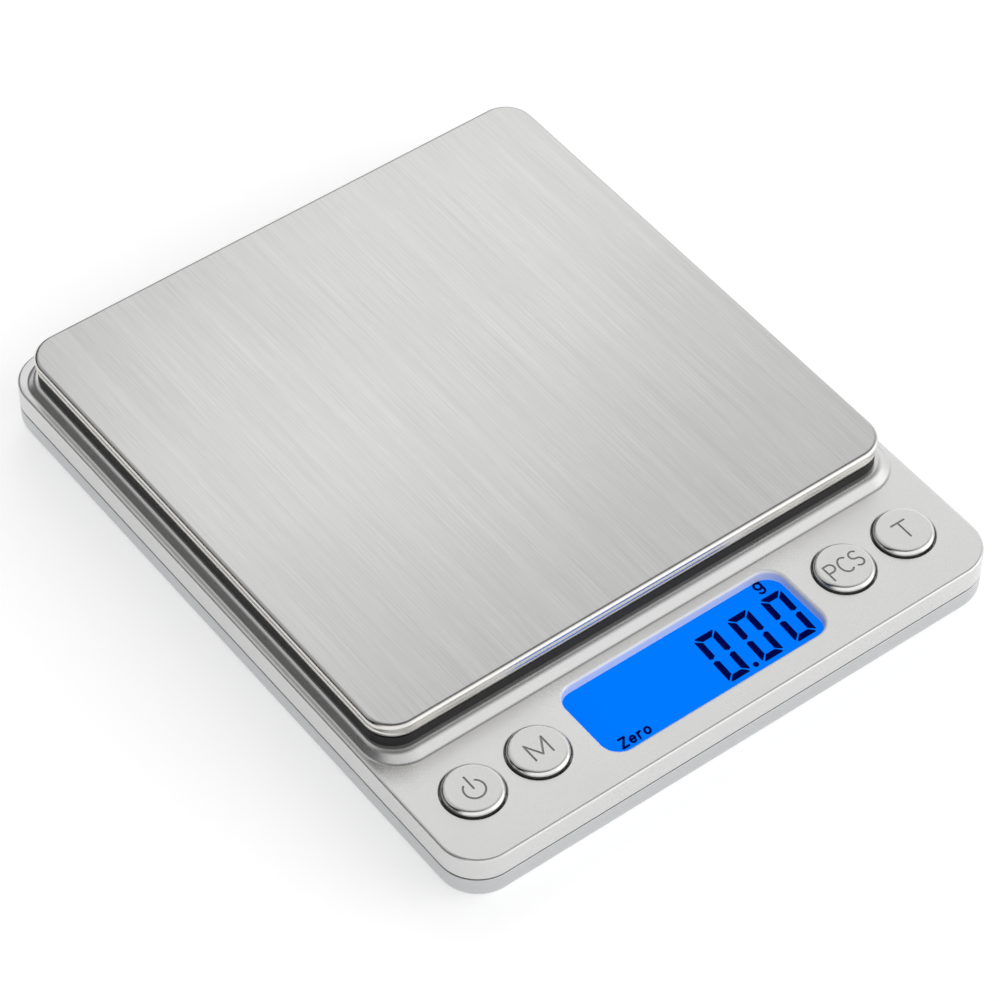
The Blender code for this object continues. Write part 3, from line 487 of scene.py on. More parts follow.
def gauge_film():
    """Amber film with the folded foil track of a strain gauge."""
    finish = Finish("gauge_foil", {"Coat Weight": 0.6, "Coat Roughness": 0.12})
    settings = {"wave_type": "BANDS", "bands_direction": "Y"}
    inputs = {"Vector": finish.point((MM,) * 3), "Scale": 0.9, "Distortion": 0.0}
    track = finish.node("ShaderNodeTexWave", settings, inputs).over(0.5, 0.08)
    finish.set({
        "Base Color": finish.mix(track, (0.55, 0.24, 0.03), (0.50, 0.42, 0.30)),
        "Metallic": track * 0.8,
        "Roughness": 0.42 - track * 0.1,
        "Normal": finish.bump(track, 0.01 * MM, 0.5),
    })
    return finish.material


def rubber_strip():
    """Elastomer of thin conducting and insulating layers."""
    finish = Finish("grey_elastomer", {})
    settings = {"wave_type": "BANDS", "bands_direction": "X"}
    inputs = {"Vector": finish.point((MM,) * 3), "Scale": 1.6}
    layer = finish.node("ShaderNodeTexWave", settings, inputs).over(0.5, 0.1)
    finish.set({
        "Base Color": finish.mix(layer, (0.03, 0.03, 0.03), (0.62, 0.60, 0.56)),
        "Roughness": 0.55 + layer * 0.15,
    })
    return finish.material


def foam_tape():
    """Open foam under the steel: pores and a slightly uneven face."""
    finish = Finish("adhesive_foam", {"Specular IOR Level": 0.2})
    pores = finish.cells(0.35 * MM)
    finish.set({
        "Base Color": finish.mix(pores, (0.60, 0.60, 0.56), (0.85, 0.85, 0.80)),
        "Roughness": 0.8 + pores * 0.15,
        "Normal": finish.bump(pores, 0.08 * MM, 0.7),
    })
    return finish.material


FINISHES = {
    "silver_upper": silver_paint("silver_upper", (0.655, 0.655, 0.65), 0.85, 0.30),
    "silver_lower": silver_paint("silver_lower", (0.53, 0.54, 0.548), 0.85, 0.33),
    # Whiter, less metallic copy of the silver paint for the window's walls and lip: a painted highlight and
    # reflection
    "window_wall_painted_highlight": silver_paint("window_wall_painted_highlight", (0.80, 0.815, 0.84), 0.12, 0.38),
    "brushed_steel": brushed_steel(),
    "black_plastic": black_plastic(),
    "satin_button": button_satin(),
    "blue_display": lcd_blue(),
    "light_guide": moulded("light_guide", (0.72, 0.82, 0.92), 0.18, constants={"Coat Weight": 0.5}),
    "white_plastic": moulded("white_plastic", (0.80, 0.80, 0.78), 0.42),
    "grey_elastomer": rubber_strip(),
    "green_board": circuit_board(),
    "black_epoxy": moulded("black_epoxy", (0.022, 0.022, 0.023), 0.38, 0.15 * MM),
    "cell_aluminium": metal("cell_aluminium", (0.76, 0.77, 0.78), 0.33, (0.2 * MM, 6.0 * MM, 1.0 * MM)),
    "gauge_foil": gauge_film(),
    "adhesive_foam": foam_tape(),
    "plated_steel": metal("plated_steel", (0.66, 0.66, 0.64), 0.28, (0.3 * MM, 0.3 * MM, 0.3 * MM)),
    "coin_steel": metal("coin_steel", (0.72, 0.72, 0.71), 0.26, (0.15 * MM, 5.0 * MM, 0.5 * MM)),
    "foot_rubber": moulded("foot_rubber", (0.03, 0.03, 0.032), 0.78, 0.25 * MM, 0.02 * MM),
    "grey_cable": moulded("grey_cable", (0.34, 0.34, 0.35), 0.55, 0.2 * MM),
    "red_wire": moulded("red_wire", (0.50, 0.025, 0.02), 0.45, 0.2 * MM),
    "black_wire": moulded("black_wire", (0.02, 0.02, 0.02), 0.45, 0.2 * MM),
}
MARK = mark_floor_painted_shade()
SEGMENT = lcd_ink()


def finish_packed_parts():
    """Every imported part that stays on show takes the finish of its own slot."""
    for entry in frame["record"]["subparts"]:
        data = frame["nodes"][entry["node"]].data
        data.materials.clear()
        data.materials.append(FINISHES[entry["material_slot"]])


# ---------------------------------------------------------------- mesh tools


def loft(mesh, rings):
    """Skins rings of equal point count in order and closes both ends."""
    loops = [[mesh.verts.new(point) for point in ring] for ring in rings]
    for lower, upper in zip(loops, loops[1:]):
        for i, vert in enumerate(lower):
            j = (i + 1) % len(lower)
            mesh.faces.new((vert, lower[j], upper[j], upper[i]))
    mesh.faces.new(loops[0])
    mesh.faces.new(loops[-1])


def outline(half_x, front, back, radius, height, centre_x=0.0):
    """Points of a rounded rectangle at one height."""
    corners = (
        (half_x - radius, back - radius),
        (radius - half_x, back - radius),
        (radius - half_x, front + radius),
        (half_x - radius, front + radius),
    )
    points = []
    for quarter, (x, y) in enumerate(corners):
        for step in range(CORNER_STEPS + 1):
            angle = (quarter + step / CORNER_STEPS) * math.pi / 2
            across = centre_x + x + radius * math.cos(angle)
            points.append((across, y + radius * math.sin(angle), height))
    return points


def arc(radius, start, end, steps):
    """Points on an arc around the origin, angles in degrees."""
    points = []
    for step in range(steps + 1):
        angle = math.radians(start + (end - start) * step / steps)
        points.append((radius * math.cos(angle), radius * math.sin(angle)))
    return points


def circle(spot, radius, height, steps=ROUND_STEPS):
    return [(spot[0] + x, spot[1] + y, height) for x, y in arc(radius, 0, 360, steps)[:-1]]


def add_round(mesh, spot, profile, steps=ROUND_STEPS):
    """A turned solid on a vertical axis through spot, from (radius, height) points."""
    loft(mesh, [circle(spot, radius, height, steps) for radius, height in profile])


def add_prism(mesh, points, low, high):
    loft(mesh, [[(x, y, z) for x, y in points] for z in (low, high)])


def add_box(mesh, half_x, front, back, low, high, centre_x=0.0, radius=0.05 * MM):
    loft(mesh, [outline(half_x, front, back, radius, z, centre_x) for z in (low, high)])


def as_object(mesh, name, finish):
    bmesh.ops.recalc_face_normals(mesh, faces=mesh.faces)
    data = bpy.data.meshes.new(name)
    mesh.to_mesh(data)
    mesh.free()
    data.materials.append(finish)
    made = bpy.data.objects.new(name, data)
    bpy.context.scene.collection.objects.link(made)
    return made


def combine(target, mesh, operation="DIFFERENCE", finish=None):
    """Cuts a bmesh out of target, or joins it on. The new faces may have a finish of their own."""
    tool = as_object(mesh, "tool", finish or target.data.materials[0])
    step = target.modifiers.new("combine", "BOOLEAN")
    step.operation = operation
    step.use_self = True
    step.material_mode = "TRANSFER"
    step.object = tool
    graph = bpy.context.evaluated_depsgraph_get()
    result = bpy.data.meshes.new_from_object(target.evaluated_get(graph))
    target.modifiers.clear()
    old, target.data = target.data, result
    bpy.data.meshes.remove(old)
    bpy.data.objects.remove(tool)


def smooth(piece, angle=38.0):
    """Smooth shading, sharp where faces meet steeply, with flat faces kept flat."""
    piece.data.shade_smooth()
    piece.data.set_sharp_from_angle(angle=math.radians(angle))
    weighted = piece.modifiers.new("flat_faces", "WEIGHTED_NORMAL")
    weighted.keep_sharp = True
    weighted.weight = 100
    return piece


def finished(piece, body, slot, *nodes):
    """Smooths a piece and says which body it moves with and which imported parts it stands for."""
    smooth(piece)
    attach(piece, body)
    if nodes:
        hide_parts(*nodes)
    return piece


def centre_of(node):
    low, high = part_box(node)
    return (low.x + high.x) / 2, (low.y + high.y) / 2


# ---------------------------------------------------------------- housing


def shell_ring(inset, height):
    radius = max(HOUSING_CORNER - inset, OVERRUN)
    return outline(HALF_WIDTH - inset, inset - HALF_LENGTH, HALF_LENGTH - inset, radius, height)


def plateau_ring(share, height, inset=0.0):
    """The plateau's outline: share 0 is its foot on the deck, share 1 its shoulder."""
    side = {}
    for name, foot in PLATEAU_FOOT.items():
        side[name] = foot + (PLATEAU_SHOULDER[name] - foot) * share
    front = side["front"] - HALF_LENGTH + inset
    back = HALF_LENGTH - side["back"] - inset
    return outline(side["half_x"] - inset, front, back, side["corner"] - inset, height)


def plateau_rise():
    """Rings up the plateau's side: a straight slope, eased into the deck and the shoulder."""
    rings = []
    slope = 1.0 / (1.0 - (FOOT_EASE + SHOULDER_EASE) / 2)
    for step in range(PLATEAU_STEPS + 1):
        share = step / PLATEAU_STEPS
        if share < FOOT_EASE:
            height = slope * share ** 2 / (2 * FOOT_EASE)
        elif share > 1.0 - SHOULDER_EASE:
            height = 1.0 - slope * (1.0 - share) ** 2 / (2 * SHOULDER_EASE)
        else:
            height = slope * (share - FOOT_EASE / 2)
        rings.append(plateau_ring(share, DECK + height * (PLATEAU_TOP - DECK)))
    return rings


def flared_window():
    """The display opening, with a rounded lip where it meets the deck."""
    levels = [(0.0, DECK_CEILING - OVERRUN)]
    for x, z in arc(WINDOW_LIP, 180, 96, 8):
        levels.append((WINDOW_LIP + x, DECK - WINDOW_LIP + z))
    levels.append((WINDOW_LIP, DECK + OVERRUN))
    rings = []
    for out, height in levels:
        half_y = WINDOW_HALF[1] + out
        corner = WINDOW_CORNER + out
        rings.append(outline(WINDOW_HALF[0] + out, WINDOW_Y - half_y, WINDOW_Y + half_y, corner, height))
    cut = bmesh.new()
    loft(cut, rings)
    return cut


def button_holes():
    """Clearance holes for the caps, with a fine chamfer at the deck."""
    wide = BUTTON_HOLE + BUTTON_HOLE_LIP
    profile = [(BUTTON_HOLE, DECK_CEILING - OVERRUN), (BUTTON_HOLE, DECK - BUTTON_HOLE_LIP)]
    profile += [(wide, DECK), (wide, DECK + OVERRUN)]
    cut = bmesh.new()
    for name in BUTTONS:
        add_round(cut, centre_of(f"button_{name}"), profile)
    return cut


def upper_bosses():
    """Bosses that the housing screws go into."""
    bosses = bmesh.new()
    for node in HOUSING_SCREWS:
        profile = [(BOSS_RADIUS, UPPER_LOW.z + TONGUE_GAP), (BOSS_RADIUS, DECK_CEILING + WALL / 2)]
        add_round(bosses, centre_of(node), profile, 40)
    return bosses


def upper_openings():
    """Holes in the plateau for the stops and the carrier's boss, and the housing screws' bores."""
    cut = bmesh.new()
    for node in STOPS:
        stop_low, stop_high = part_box(node)
        radius = (stop_high.x - stop_low.x) / 2 + SMALL_GAP
        profile = [(radius, PLATEAU_CEILING - OVERRUN), (radius, PLATEAU_TOP + OVERRUN)]
        add_round(cut, centre_of(node), profile, 32)
    middle, half = transfer_boss()
    around = 2 * TONGUE_GAP
    front, back = PLATFORM_Y - half[1] - around, PLATFORM_Y + half[1] + around
    add_box(cut, half[0] + around, front, back, PLATEAU_CEILING - OVERRUN, PLATEAU_TOP + OVERRUN, middle)
    for node in HOUSING_SCREWS:
        bore = shank_of(node) + TONGUE_GAP
        add_round(cut, centre_of(node), [(bore, UPPER_LOW.z - OVERRUN), (bore, DECK_CEILING)], 32)
    return cut


def upper_shell():
    """Deck and plateau in one skin, with its window, button holes and inner bosses."""
    low = UPPER_LOW.z
    rings = [
        plateau_ring(1.0, PLATEAU_CEILING, WALL),
        plateau_ring(1.0, DECK_CEILING, WALL),
        shell_ring(WALL, DECK_CEILING),
        shell_ring(WALL, TONGUE_TOP + TONGUE_GAP),
        shell_ring(TONGUE_INSET - TONGUE_GAP, TONGUE_TOP + TONGUE_GAP),
        shell_ring(TONGUE_INSET - TONGUE_GAP, low),
        shell_ring(LIP_ROUNDING, low),
    ]
    for x, z in arc(LIP_ROUNDING, -90, 0, 4)[1:]:
        rings.append(shell_ring(LIP_ROUNDING - x, low + LIP_ROUNDING + z))
    for x, z in arc(DECK_ROUNDING, 0, 90, 8):
        rings.append(shell_ring(DECK_ROUNDING - x, DECK - DECK_ROUNDING + z))
    mesh = bmesh.new()
    loft(mesh, rings + plateau_rise())
    shell = as_object(mesh, "upper_shell", FINISHES["silver_upper"])
    combine(shell, upper_bosses(), "UNION")
    # The window's walls and lip take the whiter finish: painted highlight
    combine(shell, flared_window(), "DIFFERENCE", FINISHES["window_wall_painted_highlight"])
    combine(shell, button_holes())
    combine(shell, upper_openings())
    finished(shell, "housing", "silver_upper", "upper_housing")


def transfer_boss():
    """Middle and half sides of the carrier's boss over the load cell."""
    inner, outer = (centre_of(node) for node in TRANSFER_SCREWS)
    return (inner[0] + outer[0]) / 2, BOSS_HALF


def shank_of(node):
    """Radius of a screw's shank: the load cell's screws are the thicker ones."""
    return SCREW_SHANK if "cell" in node else SCREW_SHANK - TONGUE_GAP


def steel_ring(inset, height):
    half = PLATFORM_HALF - inset
    return outline(half, PLATFORM_Y - half, PLATFORM_Y + half, STEEL_CORNER - inset, height)


def steel_cap():
    """Folded steel sheet with a shallow rolled groove along its rim."""
    low, top = STEEL_LOW.z, STEEL_HIGH.z
    inner_bend = STEEL_BEND - STEEL_SHEET
    rings = []
    for x, z in arc(inner_bend, 90, 0, 5):
        rings.append(steel_ring(STEEL_BEND - x, top - STEEL_BEND + z))
    edge = STEEL_SHEET / 4
    for inset, height in ((STEEL_SHEET, low), (edge, low), (0.0, low + edge)):
        rings.append(steel_ring(RIM_TUCK + inset, height))
    middle = (low + edge + top - STEEL_BEND) / 2
    for share in range(-4, 5):
        dip = RIM_GROOVE * (1 + math.cos(math.pi * share / 4)) / 2
        rings.append(steel_ring(RIM_TUCK / 2 + dip, middle + share * RIM_GROOVE))
    for x, z in arc(STEEL_BEND, 0, 90, 10):
        rings.append(steel_ring(STEEL_BEND - x, top - STEEL_BEND + z))
    mesh = bmesh.new()
    loft(mesh, rings)
    cap = as_object(mesh, "steel_cap", FINISHES["brushed_steel"])
    cap.data.use_auto_texspace = False
    cap.data.texspace_location = (0.0, GRAIN_FAR, 0.0)
    cap.data.texspace_size = (1.0, 1.0, 1.0)
    finished(cap, "platform", "brushed_steel", "steel_platform")


def carrier_ribs(direction, top):
    """Three ribs under the carrier's plate: from front to back for direction 0, across for 1."""
    ribs = bmesh.new()
    for number in (-1, 0, 1):
        offset = number * RIB_SPACING[direction]
        if direction:
            y = PLATFORM_Y + offset
            add_box(ribs, RIB_REACH, y - RIB_HALF, y + RIB_HALF, RIB_BOTTOM, top)
        else:
            front, back = PLATFORM_Y - RIB_REACH, PLATFORM_Y + RIB_REACH
            add_box(ribs, RIB_HALF, front, back, RIB_BOTTOM, top, offset)
    return ribs


def carrier_pads(top):
    """Pads over the overload stops, and the boss over the load cell."""
    pads = bmesh.new()
    for node in STOPS:
        stop_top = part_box(node)[1].z
        add_round(pads, centre_of(node), [(STOP_PAD, stop_top + STOP_GAP), (STOP_PAD, top)], 32)
    middle, half = transfer_boss()
    front, back = PLATFORM_Y - half[1], PLATFORM_Y + half[1]
    add_box(pads, half[0], front, back, CELL_TOP + BOSS_GAP, top, middle)
    return pads


def transfer_screw_holes():
    holes = bmesh.new()
    for node in TRANSFER_SCREWS:
        screw_low, screw_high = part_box(node)
        pocket = (screw_high.x - screw_low.x) / 2 + TONGUE_GAP
        shank = SCREW_SHANK + TONGUE_GAP
        seat = screw_high.z - HEAD_HEIGHT - SMALL_GAP
        profile = [(shank, CELL_TOP), (shank, seat), (pocket, seat), (pocket, STEEL_HIGH.z)]
        add_round(holes, centre_of(node), profile, 32)
    return holes


def carrier_tray():
    """Black tray under the steel: skirt, ribs, pads over the stops and the load cell's boss."""
    ledge = STEEL_LOW.z - TONGUE_GAP
    inside = STEEL_SHEET + TONGUE_GAP
    plate = CARRIER_HIGH.z - CARRIER_PLATE
    # Reaching this low, the black skirt also closes the gap over the plateau: besides the real black
    # carrier, a dark sheet standing in for that gap's shadow
    low = CARRIER_LOW.z  # the boss's depth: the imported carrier's skirt ends higher, above the plateau
    outer = RIM_TUCK + SMALL_GAP
    rings = [
        steel_ring(CARRIER_WALL, plate),
        steel_ring(CARRIER_WALL, low),
        steel_ring(outer + CARRIER_EDGE, low),
        steel_ring(outer + CARRIER_EDGE * 0.3, low + CARRIER_EDGE * 0.3),
        steel_ring(outer, low + CARRIER_EDGE),
        steel_ring(outer, ledge),
        steel_ring(inside, ledge),
        steel_ring(inside, CARRIER_HIGH.z),
    ]
    mesh = bmesh.new()
    loft(mesh, rings)
    tray = as_object(mesh, "carrier_tray", FINISHES["black_plastic"])
    into_plate = CARRIER_HIGH.z - CARRIER_PLATE / 2
    for direction in (0, 1):
        combine(tray, carrier_ribs(direction, into_plate), "UNION")
    combine(tray, carrier_pads(into_plate), "UNION")
    combine(tray, transfer_screw_holes())
    finished(tray, "platform", "black_plastic", "platform_carrier")


# ---------------------------------------------------------------- underside


def channel_outline(half_width, tongue, low, step, high):
    """Section across the battery door, or its channel: a plate with a tongue on each side."""
    wide = half_width + tongue
    return [
        (-half_width, low),
        (half_width, low),
        (half_width, step),
        (wide, step),
        (wide, high),
        (-wide, high),
        (-wide, step),
        (-half_width, step),
    ]


def add_channel(mesh, section, front, back):
    loft(mesh, [[(x, y, z) for x, z in section] for y in (front, back)])


def lower_posts(rooted, top):
    """Block round the door's channel, screw bosses, board posts and the load cell's pad."""
    posts = bmesh.new()
    block_half = DOOR_PLATE_HALF + DOOR_TONGUE + WALL
    add_box(posts, block_half, DOOR_LOW.y - WALL, HALF_LENGTH - WALL / 2, rooted, CHANNEL_BLOCK_TOP)
    for node in HOUSING_SCREWS:
        add_round(posts, centre_of(node), [(BOSS_RADIUS, rooted), (BOSS_RADIUS, top - TONGUE_GAP)], 40)
    board_low, board_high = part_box("main_board")
    for x in (board_low.x + POST_INSET, board_high.x - POST_INSET):
        for y in (board_low.y + POST_INSET, board_high.y - POST_INSET):
            add_round(posts, (x, y), [(POST_RADIUS, rooted), (POST_RADIUS, board_low.z - SMALL_GAP)], 32)
    pad_low, pad_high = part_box("load_cell_spacer")
    pad_x, pad_half = (pad_low.x + pad_high.x) / 2, (pad_high.x - pad_low.x) / 2
    add_box(posts, pad_half, pad_low.y, pad_high.y, rooted, pad_low.z - SMALL_GAP, pad_x)
    return posts


def bay_box(grow, low, high):
    """The battery bay's space round the coin cells, or its walls when it is grown."""
    box = bmesh.new()
    middle = centre_of("coin_cell_left")[1]
    reach = BAY_HALF[1] + grow
    add_box(box, BAY_HALF[0] + grow, middle - reach, middle + reach, low, high)
    return box


def underside_openings(top):
    """The door's channel, and pockets for the screws and the feet."""
    base = LOWER_LOW.z
    cut = bmesh.new()
    section = channel_outline(DOOR_PLATE_HALF + TONGUE_GAP, DOOR_TONGUE, 0.0, CHANNEL_STEP, CHANNEL_CEILING)
    add_channel(cut, section, DOOR_LOW.y - TONGUE_GAP, HALF_LENGTH + OVERRUN)
    for node in HOUSING_SCREWS + CELL_SCREWS:
        screw_low, screw_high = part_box(node)
        radius = (screw_high.x - screw_low.x) / 2 + TONGUE_GAP
        pocket_top = screw_low.z + HEAD_HEIGHT + SMALL_GAP
        bore = shank_of(node) + TONGUE_GAP
        profile = [(radius + POCKET_EDGE, 0.0), (radius + POCKET_EDGE, base), (radius, base + POCKET_EDGE)]
        profile += [(radius, pocket_top), (bore, pocket_top), (bore, top + OVERRUN)]
        add_round(cut, centre_of(node), profile, 48)
    for node in FEET:
        foot_low, foot_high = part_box(node)
        radius = (foot_high.x - foot_low.x) / 2 + TONGUE_GAP
        add_round(cut, centre_of(node), [(radius, 0.0), (radius, foot_high.z + SMALL_GAP)], 64)
    return cut


def lower_shell():
    """Tray with its tongue, the battery bay, the door's channel and pockets for screws and feet."""
    base, top = LOWER_LOW.z, UPPER_LOW.z - TONGUE_GAP
    inside = base + FLOOR
    rings = [
        shell_ring(WALL, inside),
        shell_ring(WALL, TONGUE_TOP),
        shell_ring(TONGUE_INSET, TONGUE_TOP),
        shell_ring(TONGUE_INSET, top),
    ]
    for x, z in arc(LIP_ROUNDING, 90, 0, 4):
        rings.append(shell_ring(LIP_ROUNDING - x, top - LIP_ROUNDING + z))
    for x, z in arc(BOTTOM_ROUNDING, 0, -90, 12):
        rings.append(shell_ring(BOTTOM_ROUNDING - x, base + BOTTOM_ROUNDING + z))
    mesh = bmesh.new()
    loft(mesh, rings)
    shell = as_object(mesh, "lower_shell", FINISHES["silver_lower"])
    combine(shell, lower_posts(inside - FLOOR / 2, top), "UNION")
    combine(shell, bay_box(BAY_WALL, CHANNEL_CEILING + SMALL_GAP, BAY_CEILING + BAY_WALL), "UNION")
    combine(shell, underside_openings(top))
    combine(shell, bay_box(0.0, CHANNEL_CEILING - OVERRUN, BAY_CEILING))
    finished(shell, "housing", "silver_lower", "lower_housing")


def battery_door():
    """Sliding door with rounded edges, three grip grooves and an arrow that points the way."""
    tongue, step = DOOR_TONGUE - TONGUE_GAP, CHANNEL_STEP + TONGUE_GAP
    section = channel_outline(DOOR_PLATE_HALF, tongue, DOOR_LOW.z, step, DOOR_HIGH.z)
    mesh = bmesh.new()
    add_channel(mesh, section, DOOR_LOW.y, DOOR_HIGH.y)
    bmesh.ops.recalc_face_normals(mesh, faces=mesh.faces)
    bmesh.ops.bevel(mesh, geom=mesh.edges[:], offset=DOOR_EDGE, segments=4, profile=0.5, affect="EDGES")
    door = as_object(mesh, "sliding_door", FINISHES["silver_lower"])
    grips = bmesh.new()
    half_x, half_y = GRIP_HALF
    for number in range(GRIP_COUNT):
        y = DOOR_LOW.y + GRIP_START + number * GRIP_SPACING
        add_box(grips, half_x, y - half_y, y + half_y, 0.0, DOOR_LOW.z + GRIP_DEPTH, 0.0, half_y * 0.96)
    arrow_y = DOOR_HIGH.y - GRIP_START
    points = [(-ARROW, arrow_y - ARROW), (ARROW, arrow_y - ARROW), (0.0, arrow_y)]
    add_prism(grips, points, 0.0, DOOR_LOW.z + GRIP_DEPTH / 2)
    combine(door, grips)
    finished(door, "battery_door", "silver_lower", "battery_door")


def cross_outline(spot):
    """Plus sign of a screwdriver recess."""
    long, short = CROSS_ARM
    arm = [(long, -short), (long, short), (short, short)]
    points = []
    for quarter in range(4):
        turn = Matrix.Rotation(quarter * math.pi / 2, 2)
        for point in arm:
            x, y = turn @ Vector(point)
            points.append((spot[0] + x, spot[1] + y))
    return points


def underside_screw(node):
    """Pan head screw seen from below, with a domed head and a cross recess."""
    low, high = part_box(node)
    spot = centre_of(node)
    head = (high.x - low.x) / 2
    shank = shank_of(node)
    profile = [(head * DOME_FLAT, low.z)]
    for x, z in arc(1.0, -70, 0, 8):
        profile.append((head * (DOME_START + DOME_ROLL * x), low.z + DOME_HEIGHT * (1 + z)))
    seat = low.z + HEAD_HEIGHT
    profile += [(head, seat), (shank, seat), (shank, high.z)]
    mesh = bmesh.new()
    add_round(mesh, spot, profile, 48)
    made = as_object(mesh, f"{node}_turned", FINISHES["plated_steel"])
    recess = bmesh.new()
    add_prism(recess, cross_outline(spot), low.z - OVERRUN, low.z + CROSS_DEPTH)
    combine(made, recess)
    finished(made, "housing", "plated_steel", node)


def foot_pad(node):
    """Round rubber foot with a rolled lower edge."""
    low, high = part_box(node)
    radius = (high.x - low.x) / 2
    profile = []
    for x, z in arc(FOOT_EDGE, -90, 0, 6):
        profile.append((radius - FOOT_EDGE + x, low.z + FOOT_EDGE + z))
    profile.append((radius, high.z))
    mesh = bmesh.new()
    add_round(mesh, centre_of(node), profile, 64)
    pad = as_object(mesh, f"{node}_pad", FINISHES["foot_rubber"])
    finished(pad, "housing", "foot_rubber", node)


def coin_cell(side):
    """Coin cell: crimped edge, and the narrower cap that faces the door."""
    node = f"coin_cell_{side}"
    low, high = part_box(node)
    radius = (high.x - low.x) / 2
    profile = [(radius - inset, low.z + rise) for inset, rise in CELL_CAP]
    for x, z in arc(CRIMP_RADIUS, -90, 0, 5):
        profile.append((radius - CRIMP_RADIUS + x, low.z + CRIMP_MIDDLE + z))
    for x, z in arc(CAN_ROUNDING, 0, 90, 5):
        profile.append((radius - CAN_ROUNDING + x, high.z - CAN_ROUNDING + z))
    mesh = bmesh.new()
    add_round(mesh, centre_of(node), profile)
    cell = as_object(mesh, f"{node}_can", FINISHES["coin_steel"])
    finished(cell, "housing", "coin_steel", node)


# ---------------------------------------------------------------- buttons and display


def strip(points, width):
    """Outline of a stroke along points, with round ends."""
    points = [Vector(point) for point in points]
    sides = []
    for i, point in enumerate(points):
        along = (points[min(i + 1, len(points) - 1)] - points[max(i - 1, 0)]).normalized()
        sides.append((point, Vector((-along.y, along.x)) * width / 2))
    shape = [point + side for point, side in sides]
    for end, side in (sides[-1], (sides[0][0], -sides[0][1])):
        for turn in (30, 60, 90, 120, 150):
            shape.append(end + Matrix.Rotation(-math.radians(turn), 2) @ side)
        if end is sides[-1][0]:
            shape += [point - offset for point, offset in reversed(sides)]
    return shape


def bow(x, y, radius, start, end, stretch=1.0):
    """A curved stroke around (x, y), taller or flatter by stretch."""
    steps = max(6, round(abs(end - start) / 12))
    return [(x + px, y + py * stretch) for px, py in arc(radius, start, end, steps)]


def letter(name):
    """Strokes of one sign in a box one unit high, standing on y = 0, and its width."""
    hook = [(0.56, 0.9), (0.56, 0.2), *bow(0.3, 0.2, 0.26, 0, -150)]
    signs = {
        "M": ([[(0, 0), (0, 1)], [(0, 1), (0.5, 0.12)], [(0.5, 0.12), (1, 1)], [(1, 1), (1, 0)]], 1.0),
        "P": ([[(0, 0), (0, 1)], [(0, 1), (0.28, 1), *bow(0.28, 0.74, 0.26, 90, -90), (0, 0.48)]], 0.54),
        "C": ([bow(0.36, 0.5, 0.36, 55, 305, 1.38)], 0.6),
        "S": ([bow(0.27, 0.75, 0.25, 40, 270) + bow(0.27, 0.25, 0.25, 90, -140)], 0.54),
        "T": ([[(0, 1), (0.8, 1)], [(0.4, 1), (0.4, 0)]], 0.8),
        "Z": ([[(0, 1), (0.62, 1)], [(0.62, 1), (0, 0)], [(0, 0), (0.64, 0)]], 0.64),
        "e": ([[(0.05, 0.36), (0.56, 0.36)], bow(0.31, 0.34, 0.27, 5, 320, 1.22)], 0.6),
        "r": ([[(0.05, 0), (0.05, 0.68)], bow(0.32, 0.36, 0.27, 165, 80, 1.15)], 0.42),
        "o": ([bow(0.3, 0.34, 0.27, 0, 350, 1.22)], 0.6),
        "g": ([bow(0.3, 0.62, 0.26, 0, 350, 1.1), hook], 0.62),
    }
    return signs[name]


def write(word, height, spacing=0.22):
    """Strokes of a row of signs, centred on the origin."""
    strokes, pen = [], 0.0
    for name in word:
        shapes, width = letter(name)
        strokes += [[(pen + x, y) for x, y in shape] for shape in shapes]
        pen += width + spacing
    middle = (pen - spacing) / 2
    return [[((x - middle) * height, (y - 0.5) * height) for x, y in shape] for shape in strokes]


def power_sign(radius):
    ring = bow(0.0, -0.2 * radius, radius, 128, 412)
    return [ring, [(0.0, -0.1 * radius), (0.0, 1.35 * radius)]]


MARKS = {
    "power": power_sign(1.75 * MM),
    "mode": write("M", 3.3 * MM),
    "pieces": write("PCS", 3.1 * MM, 0.2),
    "tare": write("T", 3.3 * MM),
}


def button_cap(name):
    """Round cap with a rolled edge and its mark engraved, on a flange that keeps it in its hole."""
    low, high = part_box(f"button_{name}")
    spot = centre_of(f"button_{name}")
    flange = high.x - spot[0]
    flange_top = low.z + FLANGE_HEIGHT
    profile = [(flange, low.z), (flange, flange_top), (CAP_RADIUS, flange_top)]
    for x, z in arc(BUTTON_ROLL, 0, 90, 12):
        profile.append((CAP_RADIUS - BUTTON_ROLL + x, high.z - BUTTON_ROLL + z))
    mesh = bmesh.new()
    add_round(mesh, spot, profile)
    cap = as_object(mesh, f"button_cap_{name}", FINISHES["satin_button"])
    for stroke in MARKS[name]:
        groove = bmesh.new()
        shape = [(spot[0] + x, spot[1] + y) for x, y in strip(stroke, MARK_WIDTH)]
        add_prism(groove, shape, high.z - MARK_DEPTH, high.z + OVERRUN)
        # The groove's floor takes the darker finish: painted shade
        combine(cap, groove, "DIFFERENCE", MARK)
    finished(cap, f"button_{name}", "satin_button", f"button_{name}")


def zero_segments():
    """The six lit bars of a zero, as outlines from the digit's lower left corner."""
    wide, tall = DIGIT_SIZE
    bar, gap = DIGIT_STROKE, DIGIT_GAP
    chamfer = bar * 0.35
    level = [(chamfer + gap, tall), (wide - chamfer - gap, tall)]
    level += [(wide - gap - chamfer * 0.6, tall - chamfer * 0.5), (wide - bar - gap, tall - bar)]
    level += [(bar + gap, tall - bar), (gap + chamfer * 0.6, tall - chamfer * 0.5)]
    post = [(0.0, tall - chamfer - gap), (chamfer * 0.4, tall - chamfer * 0.75 - gap * 2)]
    post += [(bar, tall - bar - gap * 2), (bar, tall / 2 + bar * 0.55)]
    post += [(bar * 0.5, tall / 2 + gap * 2.5), (0.0, tall / 2 + bar * 0.4)]
    shapes = []
    for flip_x in (False, True):
        for flip_y in (False, True):
            shapes.append([(wide - x if flip_x else x, tall - y if flip_y else y) for x, y in post])
    shapes.append(level)
    shapes.append([(x, tall - y) for x, y in level])
    return shapes


